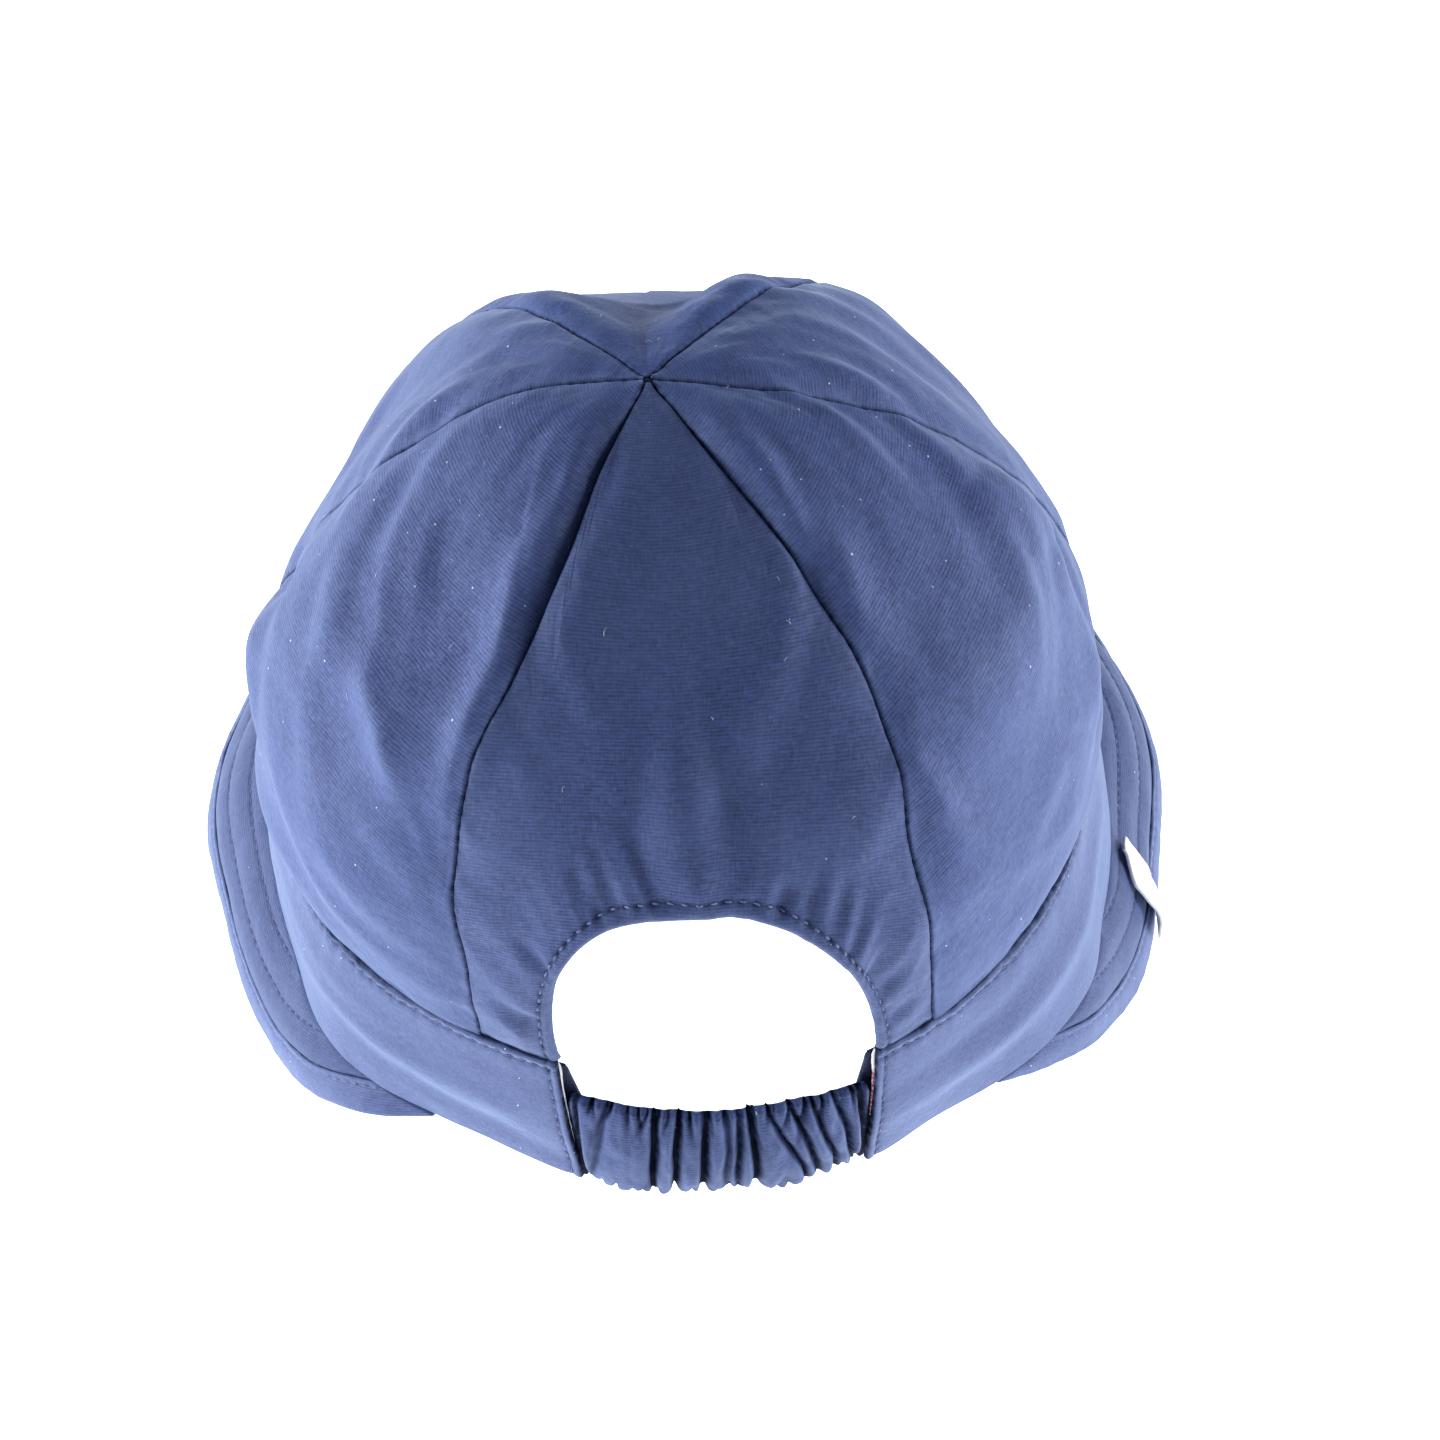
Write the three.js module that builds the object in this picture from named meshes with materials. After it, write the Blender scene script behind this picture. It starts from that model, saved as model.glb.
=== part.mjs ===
import * as THREE from 'three';

// A child's peaked sun cap, standing on the edge of its brim.
// Millimetres, +Z up. The peak points to -Y, the back opening to +Y, the wearer's left is +X.
// A turn is an angle in degrees about the upright axis: 0 at the middle of the back, rising
// towards the wearer's right. "Along" runs from 0 at the crown's foot to 1 at its star.

// Driving sizes
const BAND_RADIUS_X = 84;
const BAND_RADIUS_Y = 86;
const SEAM_RADIUS_X = 77.5;
const SEAM_RADIUS_Y = 79.5;
const BAND_HEIGHT = 34;
const BAND_SWELL = 1;
const CROWN_HEIGHT = 92;
const CROWN_LEAN_X = 6.5;
const CROWN_LEAN_Y = -6;
const STAR_RADIUS = 1.1;
const BRIM_LIFT = 28;
const PEAK_REACH = 55;
const BORDER_WIDTH = 9;
const OPENING_HEIGHT = 42;
const OPENING_MID_TURN = -0.5;
const OPENING_HALF_TURN = 21.4;
const OPENING_ROUNDNESS = 3;
const STRAP_HEIGHT = 23.5;
const STRAP_DEPTH = 1.8;
const STRAP_INSET = 3.9;
const STRAP_FULLNESS = 3;
const LABEL_LENGTH = 25.5;
const LABEL_WIDTH = 8;

// Cloth walls and the gap left between two pieces sewn together
const CROWN_CLOTH = 1.6;
const BAND_CLOTH = 2.2;
const BRIM_CLOTH = 2.2;
const STRAP_CLOTH = 1.2;
const TAPE_CLOTH = 1;
const GAP = 0.3;
const RIM_BEVEL = 0.7;

// Shaping of the crown
const FOLD_DEPTH = 1.8;
const FOOT_FADE = 0.06;
const STAR_FADE = 0.15;
const SEAM_SINK = 0.8;
const SEAM_SOFTNESS = 5;

const FULL_TURN = 360;
const BAND_TOP = BRIM_LIFT + BAND_HEIGHT;
const FOOT_RADIUS = (SEAM_RADIUS_X + SEAM_RADIUS_Y) / 2;

function table(names, rows) {
  return rows.map((row) => Object.fromEntries(names.map((name, i) => [name, row[i]])));
}

// Crown profile, as shares of the crown's height and of its foot radius.
const PROFILE = table(['height', 'radius'], [
  [0, 1],
  [0.12, 1.01],
  [0.3, 1.01],
  [0.5, 0.93],
  [0.68, 0.78],
  [0.82, 0.6],
  [0.92, 0.41],
  [0.98, 0.2],
  [1, 0],
]);

// Turn of each seam of the crown, from its foot up to the star.
const SEAMS = table(['along', 'backRight', 'right', 'frontRight', 'frontLeft', 'left', 'backLeft'], [
  [0, 29.6, 99, 148, 214, 261, 327],
  [0.15, 29.9, 99, 148, 214, 261, 326.8],
  [0.3, 30.2, 99.2, 147.5, 214, 261.2, 325.3],
  [0.45, 32.8, 96.6, 147, 214.5, 261.6, 325.4],
  [0.6, 35, 96.2, 146, 215, 264.2, 328.2],
  [0.75, 35, 94.6, 145, 216, 261.4, 329.6],
  [0.88, 33.4, 90.6, 144.2, 217.7, 258, 327.6],
  [1, 33, 90, 144, 218, 257, 327],
]);

// Each panel between two seams. Puff is how far its middle stands out from the round.
const PANELS = table(['name', 'from', 'to', 'puff'], [
  ['crown_panel_back', 'backLeft', 'backRight', -1],
  ['crown_panel_back_right', 'backRight', 'right', 0.5],
  ['crown_panel_front_right', 'right', 'frontRight', 0],
  ['crown_panel_front', 'frontRight', 'frontLeft', -5],
  ['crown_panel_front_left', 'frontLeft', 'left', -1],
  ['crown_panel_back_left', 'left', 'backLeft', 0.5],
]);

// Folds of the crown, and then its broad bulges and hollows. Run is the angle of the fold's
// length, 0 around and 90 upwards. Height is a share of the fold depth, and the half length and
// half width are in millimetres.
const FOLDS = table(['turn', 'along', 'run', 'halfLength', 'halfWidth', 'height'], [
  [307.5, 0.43, -26, 11, 4.5, 1],
  [322.8, 0.545, -82, 16, 4, 0.9],
  [313, 0.09, -16, 24, 5, 0.9],
  [300, 0.2, -30, 20, 6, 0.6],
  [55, 0.42, 4, 32, 8, 0.8],
  [70, 0.16, 20, 24, 7, 0.7],
  [120, 0.55, 60, 18, 7, -0.7],
  [165, 0.72, 70, 14, 5, 0.7],
  [240, 0.6, 100, 20, 8, -0.7],
  [92, 0.24, 90, 26, 20, -0.35],
  [118, 0.36, 90, 30, 20, -1.05],
  [145, 0.5, 90, 24, 17, 1.45],
  [166, 0.54, 90, 24, 15, -2.45],
  [192, 0.53, 90, 26, 18, -1.3],
  [248, 0.36, 90, 32, 22, -2.9],
  [268, 0.25, 90, 26, 14, -0.6],
]);

// How far the crown's foot and the band's lower edge stand out from their plain ovals.
const OVALS = table(['turn', 'foot', 'hem'], [
  [0, 2.4, 0],
  [10, 2.4, 0],
  [20, 3, -1],
  [30, 2.5, -2.3],
  [41, 1.4, -0.4],
  [50, 0.8, 1.8],
  [60, 0.3, 3.1],
  [72, -0.2, 1],
  [88, 0.5, 1.1],
  [103, 0.5, 2.6],
  [125, 0, 0],
  [235, 0, 0],
  [257, 2, 2.4],
  [270, 4, 0.9],
  [285, 5.2, 0.6],
  [300, 5, 2.8],
  [310, 4.2, 1.6],
  [320, 3, -1.1],
  [328, 2.3, -2.3],
  [340, 2, -1.2],
  [350, 2.2, 0],
  [360, 2.4, 0],
]);

// Cut of the brim. Reach is a share of the peak's reach and drop of the brim's lift.
// The slopes are in degrees below level, at the band and at the edge.
const BRIM = table(['turn', 'reach', 'drop', 'rootSlope', 'edgeSlope'], [
  [40, 0, 0, 55, 72],
  [53, 0.05, 0.35, 55, 72],
  [62, 0.09, 0.65, 55, 72],
  [72, 0.18, 0.93, 52, 72],
  [80, 0.215, 1, 49, 76],
  [92, 0.265, 1, 44, 76],
  [112, 0.445, 1, 20, 76],
  [140, 0.7, 1, 14, 66],
  [158, 0.93, 1, 14, 48],
  [180, 1, 1, 14, 42],
  [202, 0.9, 1, 14, 48],
  [220, 0.64, 1, 14, 62],
  [248, 0.41, 1, 18, 78],
  [268, 0.245, 1, 34, 84],
  [280, 0.185, 1, 46, 85],
  [288, 0.155, 0.93, 52, 85],
  [298, 0.11, 0.66, 58, 85],
  [307, 0.085, 0.36, 62, 85],
  [320, 0, 0, 62, 85],
]);

// Gathers of the strap. Height is a share of the strap's fullness, lean is the turn by which
// the fold's foot is shifted.
const GATHERS = table(['turn', 'halfWidth', 'height', 'lean'], [
  [-17.4, 1, 0.5, 0],
  [-13, 3.3, 0.95, 0.4],
  [-9.9, 0.9, 0.6, 0],
  [-7.1, 0.95, 0.85, -0.6],
  [-4.8, 0.9, 0.9, 0],
  [-2.3, 1, 0.95, 0],
  [-0.4, 0.7, 0.5, 0.2],
  [1.8, 0.8, 0.8, 0],
  [3.3, 0.7, 0.75, 0],
  [6, 1.5, 0.95, -1.2],
  [9.2, 1.1, 0.85, -1.4],
  [11.9, 1, 0.85, -1],
  [14.7, 0.95, 0.75, -0.8],
  [16.9, 0.8, 0.6, -0.4],
  [18.5, 0.8, 0.5, 0],
]);

// Inner layers that show past the two ends of the band. Depth is how far behind the band's
// outer face they lie, show is how far they pass the band's end, the heights are above the hem.
const TAPES = table(['name', 'side', 'depth', 'show', 'bottom', 'top', 'colour'], [
  ['lining_edge_left', -1, 2.5, 0.5, 4, 33, 0xe9eaee],
  ['lining_edge_right', 1, 2.5, 0.5, 17, 33, 0xb9737f],
  ['inner_facing_left', -1, 3.8, 2.4, 24.5, 31.5, 0x141a38],
  ['inner_facing_right', 1, 3.8, 1.6, 24.5, 31.5, 0x141a38],
]);
const TAPE_OVERLAP = 9;

function radians(degrees) {
  return THREE.MathUtils.degToRad(degrees);
}

function wholeTurn(turn) {
  return THREE.MathUtils.euclideanModulo(turn, FULL_TURN);
}

// Shortest signed way from one turn to another.
function turnFrom(start, turn) {
  return wholeTurn(turn - start + FULL_TURN / 2) - FULL_TURN / 2;
}

// Smooth curve through two columns of a table, with no overshoot between its rows.
function curveThrough(rows, across, up) {
  const xs = rows.map((row) => row[across]);
  const ys = rows.map((row) => row[up]);
  const steps = xs.slice(1).map((x, i) => x - xs[i]);
  const rises = steps.map((step, i) => (ys[i + 1] - ys[i]) / step);
  const slopes = xs.map((x, i) => {
    const before = rises[Math.max(i - 1, 0)];
    const after = rises[Math.min(i, rises.length - 1)];
    return before * after > 0 ? (2 * before * after) / (before + after) : 0;
  });
  return (x) => {
    const inside = THREE.MathUtils.clamp(x, xs[0], xs[xs.length - 1]);
    const found = xs.findIndex((start) => start >= inside);
    const i = Math.max(found - 1, 0);
    const s = (inside - xs[i]) / steps[i];
    const blend = s * s * (3 - 2 * s);
    const bend = s * (1 - s) * steps[i];
    return ys[i] + blend * (ys[i + 1] - ys[i]) + bend * ((1 - s) * slopes[i] - s * slopes[i + 1]);
  };
}

// Crown profile measured along its own length.
const profileSteps = PROFILE.slice(1).map((row, i) => Math.hypot(
  (row.height - PROFILE[i].height) * CROWN_HEIGHT,
  (row.radius - PROFILE[i].radius) * FOOT_RADIUS,
));
const PROFILE_LENGTH = profileSteps.reduce((sum, step) => sum + step, 0);
const profileRows = PROFILE.map((row, i) => ({
  ...row,
  along: profileSteps.slice(0, i).reduce((sum, step) => sum + step, 0) / PROFILE_LENGTH,
}));
const heightAlong = curveThrough(profileRows, 'along', 'height');
const radiusAlong = curveThrough(profileRows, 'along', 'radius');
const alongAtHeight = curveThrough(profileRows, 'height', 'along');
const footOffset = curveThrough(OVALS, 'turn', 'foot');
const hemOffset = curveThrough(OVALS, 'turn', 'hem');
const seamTurn = Object.fromEntries(
  Object.keys(SEAMS[0]).slice(1).map((name) => [name, curveThrough(SEAMS, 'along', name)]),
);

// Turns of a panel's two edges, its start always below its end.
function panelEdges(panel, along) {
  const end = seamTurn[panel.to](along);
  const start = seamTurn[panel.from](along);
  return { start: start > end ? start - FULL_TURN : start, end };
}

// Panels stand out most two thirds of the way up, where this share reaches 1.
const PUFF_PEAK = 27 / 4;
function puffAt(turn, along) {
  return PANELS.reduce((sum, panel) => {
    const { start, end } = panelEdges(panel, along);
    const share = wholeTurn(turn - start) / (end - start);
    if (share >= 1) return sum;
    const swell = Math.sin(Math.PI * share) ** 2 * PUFF_PEAK * along * along * (1 - along);
    return sum + panel.puff * swell;
  }, 0);
}

function foldAt(turn, along, radius) {
  return FOLDS.reduce((sum, fold) => {
    const around = radians(turnFrom(fold.turn, turn)) * radius;
    const up = (along - fold.along) * PROFILE_LENGTH;
    const run = radians(fold.run);
    const lengthwise = (around * Math.cos(run) + up * Math.sin(run)) / fold.halfLength;
    const crosswise = (up * Math.cos(run) - around * Math.sin(run)) / fold.halfWidth;
    return sum + FOLD_DEPTH * fold.height * Math.exp(-(lengthwise ** 2 + crosswise ** 2));
  }, 0);
}

function seamSinkAt(turn, along, radius) {
  return Object.values(seamTurn).reduce((sum, seam) => {
    const away = radians(turnFrom(seam(along), turn)) * radius / SEAM_SOFTNESS;
    return sum + SEAM_SINK * Math.exp(-(away ** 2));
  }, 0);
}

// A point of the crown's outer face.
const SLOPE_STEP = 0.004;
function crownPoint(turn, along) {
  const height = heightAlong(along);
  const share = radiusAlong(along);
  const foot = footOffset(wholeTurn(turn)) * (1 - height);
  const rise = (heightAlong(along + SLOPE_STEP) - heightAlong(along - SLOPE_STEP)) * CROWN_HEIGHT;
  const run = (radiusAlong(along + SLOPE_STEP) - radiusAlong(along - SLOPE_STEP)) * FOOT_RADIUS;
  const steep = Math.hypot(rise, run);
  const radius = FOOT_RADIUS * share;
  const footHold = THREE.MathUtils.smoothstep(along, 0, FOOT_FADE);
  const folds = foldAt(turn, along, radius) * footHold;
  const out = Math.min(1, share / STAR_FADE)
    * (puffAt(turn, along) + folds - seamSinkAt(turn, along, radius));
  const outward = out * rise / steep;
  const reachX = SEAM_RADIUS_X * share + foot + outward;
  const reachY = SEAM_RADIUS_Y * share + foot + outward;
  return new THREE.Vector3(
    -reachX * Math.sin(radians(turn)) + CROWN_LEAN_X * height,
    reachY * Math.cos(radians(turn)) + CROWN_LEAN_Y * height,
    BAND_TOP + CROWN_HEIGHT * height - out * run / steep,
  );
}

// A point of the band's outer face, level being a height above its hem.
function bandPoint(turn, level, depth = 0) {
  const share = level / BAND_HEIGHT;
  const hem = hemOffset(wholeTurn(turn)) * (1 - share);
  const foot = footOffset(wholeTurn(turn)) * share;
  const out = hem + foot + BAND_SWELL * Math.sin(Math.PI * share) - depth;
  const radiusX = THREE.MathUtils.lerp(BAND_RADIUS_X, SEAM_RADIUS_X, share) + out;
  const radiusY = THREE.MathUtils.lerp(BAND_RADIUS_Y, SEAM_RADIUS_Y, share) + out;
  return new THREE.Vector3(
    -radiusX * Math.sin(radians(turn)),
    radiusY * Math.cos(radians(turn)),
    BRIM_LIFT + level,
  );
}

// The brim's cut at one turn, as a curve from the band out to the edge.
const BRIM_STEPS = 24;
const HANDLE_SHARE = 1 / 3;
const brimReach = curveThrough(BRIM, 'turn', 'reach');
const brimDrop = curveThrough(BRIM, 'turn', 'drop');
const brimRootSlope = curveThrough(BRIM, 'turn', 'rootSlope');
const brimEdgeSlope = curveThrough(BRIM, 'turn', 'edgeSlope');
function brimCut(turn) {
  const reach = brimReach(turn) * PEAK_REACH;
  const root = radians(brimRootSlope(turn));
  const edge = radians(brimEdgeSlope(turn));
  const drop = brimDrop(turn) * (BRIM_LIFT - GAP);
  const handle = Math.hypot(reach, drop) * HANDLE_SHARE;
  const cut = new THREE.CubicBezierCurve(
    new THREE.Vector2(0, -GAP),
    new THREE.Vector2(handle * Math.cos(root), -GAP - handle * Math.sin(root)),
    new THREE.Vector2(reach - handle * Math.cos(edge), -GAP - drop + handle * Math.sin(edge)),
    new THREE.Vector2(reach, -GAP - drop),
  );
  cut.arcLengthDivisions = BRIM_STEPS;
  return cut;
}

// Rows of points across the brim at one turn. The cut is followed from one distance to another,
// both measured back from the edge.
function brimRow(turn, from, to, count, lift = 0) {
  const cut = brimCut(turn);
  const length = cut.getLength();
  const root = bandPoint(turn, 0);
  const away = new THREE.Vector3(-Math.sin(radians(turn)), Math.cos(radians(turn)), 0);
  return Array.from({ length: count + 1 }, (unused, j) => {
    const back = Math.min(THREE.MathUtils.lerp(from, to(length), j / count), length);
    const share = THREE.MathUtils.clamp(1 - back / length, 0, 1);
    const spot = cut.getPointAt(share);
    const slope = cut.getTangentAt(share);
    const point = root.clone().addScaledVector(away, spot.x - slope.y * lift);
    point.z += spot.y + slope.x * lift;
    return point;
  });
}

// Closed sheet of cloth. The grid holds rows of points of its outer face, each row running to a
// rising turn and the rows following each other upwards. The inner face lies behind it.
function clothSolid(outer, inner) {
  const rows = outer.length;
  const columns = outer[0].length;
  const positions = [...outer.flat(), ...inner.flat()].flatMap((p) => p.toArray());
  const faceOf = (side) => (j, i) => side * rows * columns + j * columns + i;
  const front = faceOf(0);
  const back = faceOf(1);
  const index = [];
  const quad = (a, b, c, d) => index.push(a, b, c, a, c, d);
  for (let j = 0; j < rows - 1; j += 1) {
    for (let i = 0; i < columns - 1; i += 1) {
      quad(front(j, i), front(j, i + 1), front(j + 1, i + 1), front(j + 1, i));
      quad(back(j, i + 1), back(j, i), back(j + 1, i), back(j + 1, i + 1));
    }
    quad(front(j, 0), front(j + 1, 0), back(j + 1, 0), back(j, 0));
    const end = columns - 1;
    quad(front(j + 1, end), front(j, end), back(j, end), back(j + 1, end));
  }
  for (let i = 0; i < columns - 1; i += 1) {
    quad(front(0, i + 1), front(0, i), back(0, i), back(0, i + 1));
    const top = rows - 1;
    quad(front(top, i), front(top, i + 1), back(top, i + 1), back(top, i));
  }
  const geometry = new THREE.BufferGeometry();
  geometry.setAttribute('position', new THREE.Float32BufferAttribute(positions, 3));
  geometry.setIndex(index);
  return geometry;
}

// The inner face of a sheet, one wall thickness behind its outer face. A bevel draws its rim in.
function behind(grid, thickness, bevel = 0) {
  const last = { j: grid.length - 1, i: grid[0].length - 1 };
  const drawnIn = (j, i) => {
    const j2 = THREE.MathUtils.clamp(j, 1, last.j - 1);
    const i2 = THREE.MathUtils.clamp(i, 1, last.i - 1);
    const way = grid[j2][i2].clone().sub(grid[j][i]);
    return way.setLength(Math.min(bevel, way.length() / 2));
  };
  return grid.map((row, j) => row.map((point, i) => {
    const aroundWay = row[Math.min(i + 1, last.i)].clone().sub(row[Math.max(i - 1, 0)]);
    const upWay = grid[Math.min(j + 1, last.j)][i].clone().sub(grid[Math.max(j - 1, 0)][i]);
    const normal = aroundWay.cross(upWay).normalize();
    const inside = point.clone().addScaledVector(normal, -thickness);
    const onRim = j === 0 || i === 0 || j === last.j || i === last.i;
    return onRim && bevel > 0 ? inside.add(drawnIn(j, i)) : inside;
  }));
}

// The inner face of an upright sheet, shifted level towards the hat's axis.
function levelBehind(grid, thickness) {
  return behind(grid, thickness).map((row, j) => row.map((inside, i) => {
    const point = grid[j][i];
    const way = new THREE.Vector2(inside.x - point.x, inside.y - point.y).setLength(thickness);
    return new THREE.Vector3(point.x + way.x, point.y + way.y, point.z);
  }));
}

function shares(count) {
  return Array.from({ length: count + 1 }, (unused, i) => i / count);
}

const CLOTH_ROUGHNESS = 0.85;
function piece(name, geometry, colour) {
  const material = new THREE.MeshStandardMaterial({ color: colour, roughness: CLOTH_ROUGHNESS });
  const mesh = new THREE.Mesh(geometry, material);
  mesh.name = name;
  return mesh;
}

const CROWN_COLOUR = 0x2c3a6e;
const BACK_COLOUR = 0x26325f;
const BAND_COLOUR = 0x2a3768;
const STRAP_COLOUR = 0x25315e;
const BRIM_COLOUR = 0x2b396b;
const LABEL_COLOUR = 0xf2f2ee;

// Panels of the crown
const PANEL_ROWS = 13;
const PANEL_COLUMNS = 10;
const ALONG_END = 1 - STAR_RADIUS / PROFILE_LENGTH;
const HALF_GAP = GAP / 2;
const FOOT_ALONG = HALF_GAP / PROFILE_LENGTH;
const ROW_PACKING = 0.92;

function panelTurn(panel, along, share) {
  const { start, end } = panelEdges(panel, along);
  const radius = Math.max(radiusAlong(along) * FOOT_RADIUS, STAR_RADIUS);
  const trim = THREE.MathUtils.radToDeg(HALF_GAP / radius);
  return THREE.MathUtils.lerp(start + trim, end - trim, share);
}

function rowAlong(row) {
  return THREE.MathUtils.lerp(FOOT_ALONG, ALONG_END, (row / PANEL_ROWS) ** ROW_PACKING);
}

function plainPanel(panel) {
  const grid = shares(PANEL_ROWS).map((unused, row) => shares(PANEL_COLUMNS).map((share) => (
    crownPoint(panelTurn(panel, rowAlong(row), share), rowAlong(row)))));
  return clothSolid(grid, behind(grid, CROWN_CLOTH, RIM_BEVEL));
}

// A point of the back opening's edge, followed over its top from one foot to the other.
function openingPoint(angle) {
  const across = Math.sign(Math.cos(angle)) * Math.abs(Math.cos(angle)) ** (2 / OPENING_ROUNDNESS);
  const up = Math.sin(angle) ** (2 / OPENING_ROUNDNESS);
  return {
    turn: OPENING_MID_TURN - across * OPENING_HALF_TURN,
    along: Math.max(alongAtHeight(up * OPENING_HEIGHT / CROWN_HEIGHT), FOOT_ALONG),
  };
}

// The back panel is cut in rays from the opening's edge out to its two seams and the star.
// The rays end where the rows of the panels beside it do.
const RAY_ROWS = 8;
const TIP_COLUMNS = 4;
const RAY_COUNT = 2 * PANEL_ROWS + TIP_COLUMNS;
function outlinePoint(panel, ray) {
  const along = rowAlong(Math.min(ray, RAY_COUNT - ray, PANEL_ROWS));
  const across = THREE.MathUtils.clamp((ray - PANEL_ROWS) / TIP_COLUMNS, 0, 1);
  return { turn: panelTurn(panel, along, across), along };
}

function backPanel(panel) {
  const grid = shares(RAY_ROWS).map((rowShare) => shares(RAY_COUNT).map((rayShare, ray) => {
    const edge = openingPoint(Math.PI * rayShare);
    const outline = outlinePoint(panel, ray);
    const turn = THREE.MathUtils.lerp(edge.turn, outline.turn, rowShare);
    return crownPoint(turn, THREE.MathUtils.lerp(edge.along, outline.along, rowShare));
  }));
  return clothSolid(grid, behind(grid, CROWN_CLOTH, RIM_BEVEL));
}

// Band, from the right end of the opening round the front to its left end
const BAND_ROWS = 4;
const BAND_COLUMNS = 80;
const BAND_END_TOP = 22.3;
const BAND_END_HEM = 19.2;

function bandEnd(level) {
  return THREE.MathUtils.lerp(BAND_END_HEM, BAND_END_TOP, level / BAND_HEIGHT);
}

function band() {
  const grid = shares(BAND_ROWS).map((rowShare) => {
    const level = rowShare * (BAND_HEIGHT - HALF_GAP);
    const end = bandEnd(level);
    return shares(BAND_COLUMNS).map((share) => (
      bandPoint(THREE.MathUtils.lerp(end, FULL_TURN - end, share), level)));
  });
  return clothSolid(grid, levelBehind(grid, BAND_CLOTH));
}

// Strap: a gathered casing tucked in behind both ends of the band
const STRAP_ROWS = 5;
const STRAP_COLUMNS = 92;
const STRAP_HALF_TURN = 22.5;
const STRAP_CLEAR_TURN = 16.8;
const STRAP_TUCKED_TURN = 18.6;
const STRAP_HEM = 0.4;
const STRAP_BACKING = 0.45;

function gatherAt(turn, share) {
  return GATHERS.reduce((most, fold) => {
    const away = (turn - fold.turn - fold.lean * (1 - share)) / fold.halfWidth;
    return Math.max(most, Math.abs(away) < 1 ? fold.height * Math.cos(away * Math.PI / 2) : 0);
  }, 0);
}

function strapPoint(turn, share, backing) {
  const tuck = THREE.MathUtils.smoothstep(Math.abs(turn), STRAP_CLEAR_TURN, STRAP_TUCKED_TURN);
  const fullness = STRAP_FULLNESS * gatherAt(turn, share) * (1 - tuck);
  const base = THREE.MathUtils.lerp(STRAP_DEPTH, STRAP_INSET, tuck);
  const depth = base - fullness * (backing ? STRAP_BACKING : 1) + (backing ? STRAP_CLOTH : 0);
  return bandPoint(turn, STRAP_HEM + share * STRAP_HEIGHT, depth);
}

function strap() {
  const grid = (backing) => shares(STRAP_ROWS).map((share) => shares(STRAP_COLUMNS).map((place) => {
    const turn = THREE.MathUtils.lerp(-STRAP_HALF_TURN, STRAP_HALF_TURN, place);
    return strapPoint(turn, share, backing);
  }));
  return clothSolid(grid(false), grid(true));
}

// Narrow inner layers at the band's ends
const TAPE_COLUMNS = 3;
const TAPE_ROWS = 2;
function tape(row) {
  const grid = shares(TAPE_ROWS).map((share) => {
    const level = THREE.MathUtils.lerp(row.bottom, row.top, share);
    const radius = (BAND_RADIUS_Y + SEAM_RADIUS_Y) / 2;
    const inner = row.side * (bandEnd(level) - THREE.MathUtils.radToDeg(row.show / radius));
    const outer = inner + row.side * THREE.MathUtils.radToDeg(TAPE_OVERLAP / radius);
    const turns = [inner, outer].sort((a, b) => a - b);
    return shares(TAPE_COLUMNS).map((place) => (
      bandPoint(THREE.MathUtils.lerp(...turns, place), level, row.depth)));
  });
  return clothSolid(grid, levelBehind(grid, TAPE_CLOTH));
}

// Brim and its border strip, parted along the outermost seam
const BRIM_COLUMNS = 60;
const BRIM_ROWS = 5;
const BORDER_COLUMNS = 66;
const BORDER_ROWS = 2;
const BORDER_TURNS = [42.5, 317.5];
const BRIM_TURNS = [51, 309];

function brimGrid(turns, columns, from, to, rows) {
  const across = shares(columns).map((share) => (
    brimRow(THREE.MathUtils.lerp(...turns, share), from, to, rows)));
  return shares(rows).map((unused, j) => across.map((row) => row[j]));
}

function flattened(grid) {
  return grid.map((row) => row.map((point) => point.setZ(Math.max(point.z, 0))));
}

function brim() {
  const outer = BORDER_WIDTH + HALF_GAP;
  const grid = brimGrid(BRIM_TURNS, BRIM_COLUMNS, outer, (length) => length, BRIM_ROWS);
  return clothSolid(grid, behind(grid, BRIM_CLOTH, RIM_BEVEL));
}

function border() {
  const inner = (length) => Math.min(length, BORDER_WIDTH - HALF_GAP);
  const grid = brimGrid(BORDER_TURNS, BORDER_COLUMNS, 0, inner, BORDER_ROWS);
  return clothSolid(flattened(grid), flattened(behind(grid, BRIM_CLOTH)));
}

// Label: a folded tape lying down the slope of the brim, one long edge curling away
const LABEL_TURN = 82.6;
const LABEL_SKEW = 1.2;
const LABEL_FOOT = 2.2;
const LABEL_LIFT = TAPE_CLOTH + GAP;
const LABEL_CURL = 1.6;
const LABEL_ROWS = 5;
const LABEL_COLUMNS = 4;
function label() {
  const halfTurn = THREE.MathUtils.radToDeg(LABEL_WIDTH / 2 / BAND_RADIUS_X);
  const columns = shares(LABEL_COLUMNS).map((place) => {
    const turn = LABEL_TURN + THREE.MathUtils.lerp(-halfTurn, halfTurn, place);
    const lift = LABEL_LIFT + LABEL_CURL * (1 - place) ** 2;
    const foot = LABEL_FOOT + LABEL_SKEW * place;
    return brimRow(turn, foot, () => foot + LABEL_LENGTH, LABEL_ROWS, lift);
  });
  const grid = shares(LABEL_ROWS).map((unused, j) => columns.map((column) => column[j]));
  return clothSolid(grid, behind(grid, TAPE_CLOTH));
}

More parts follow.
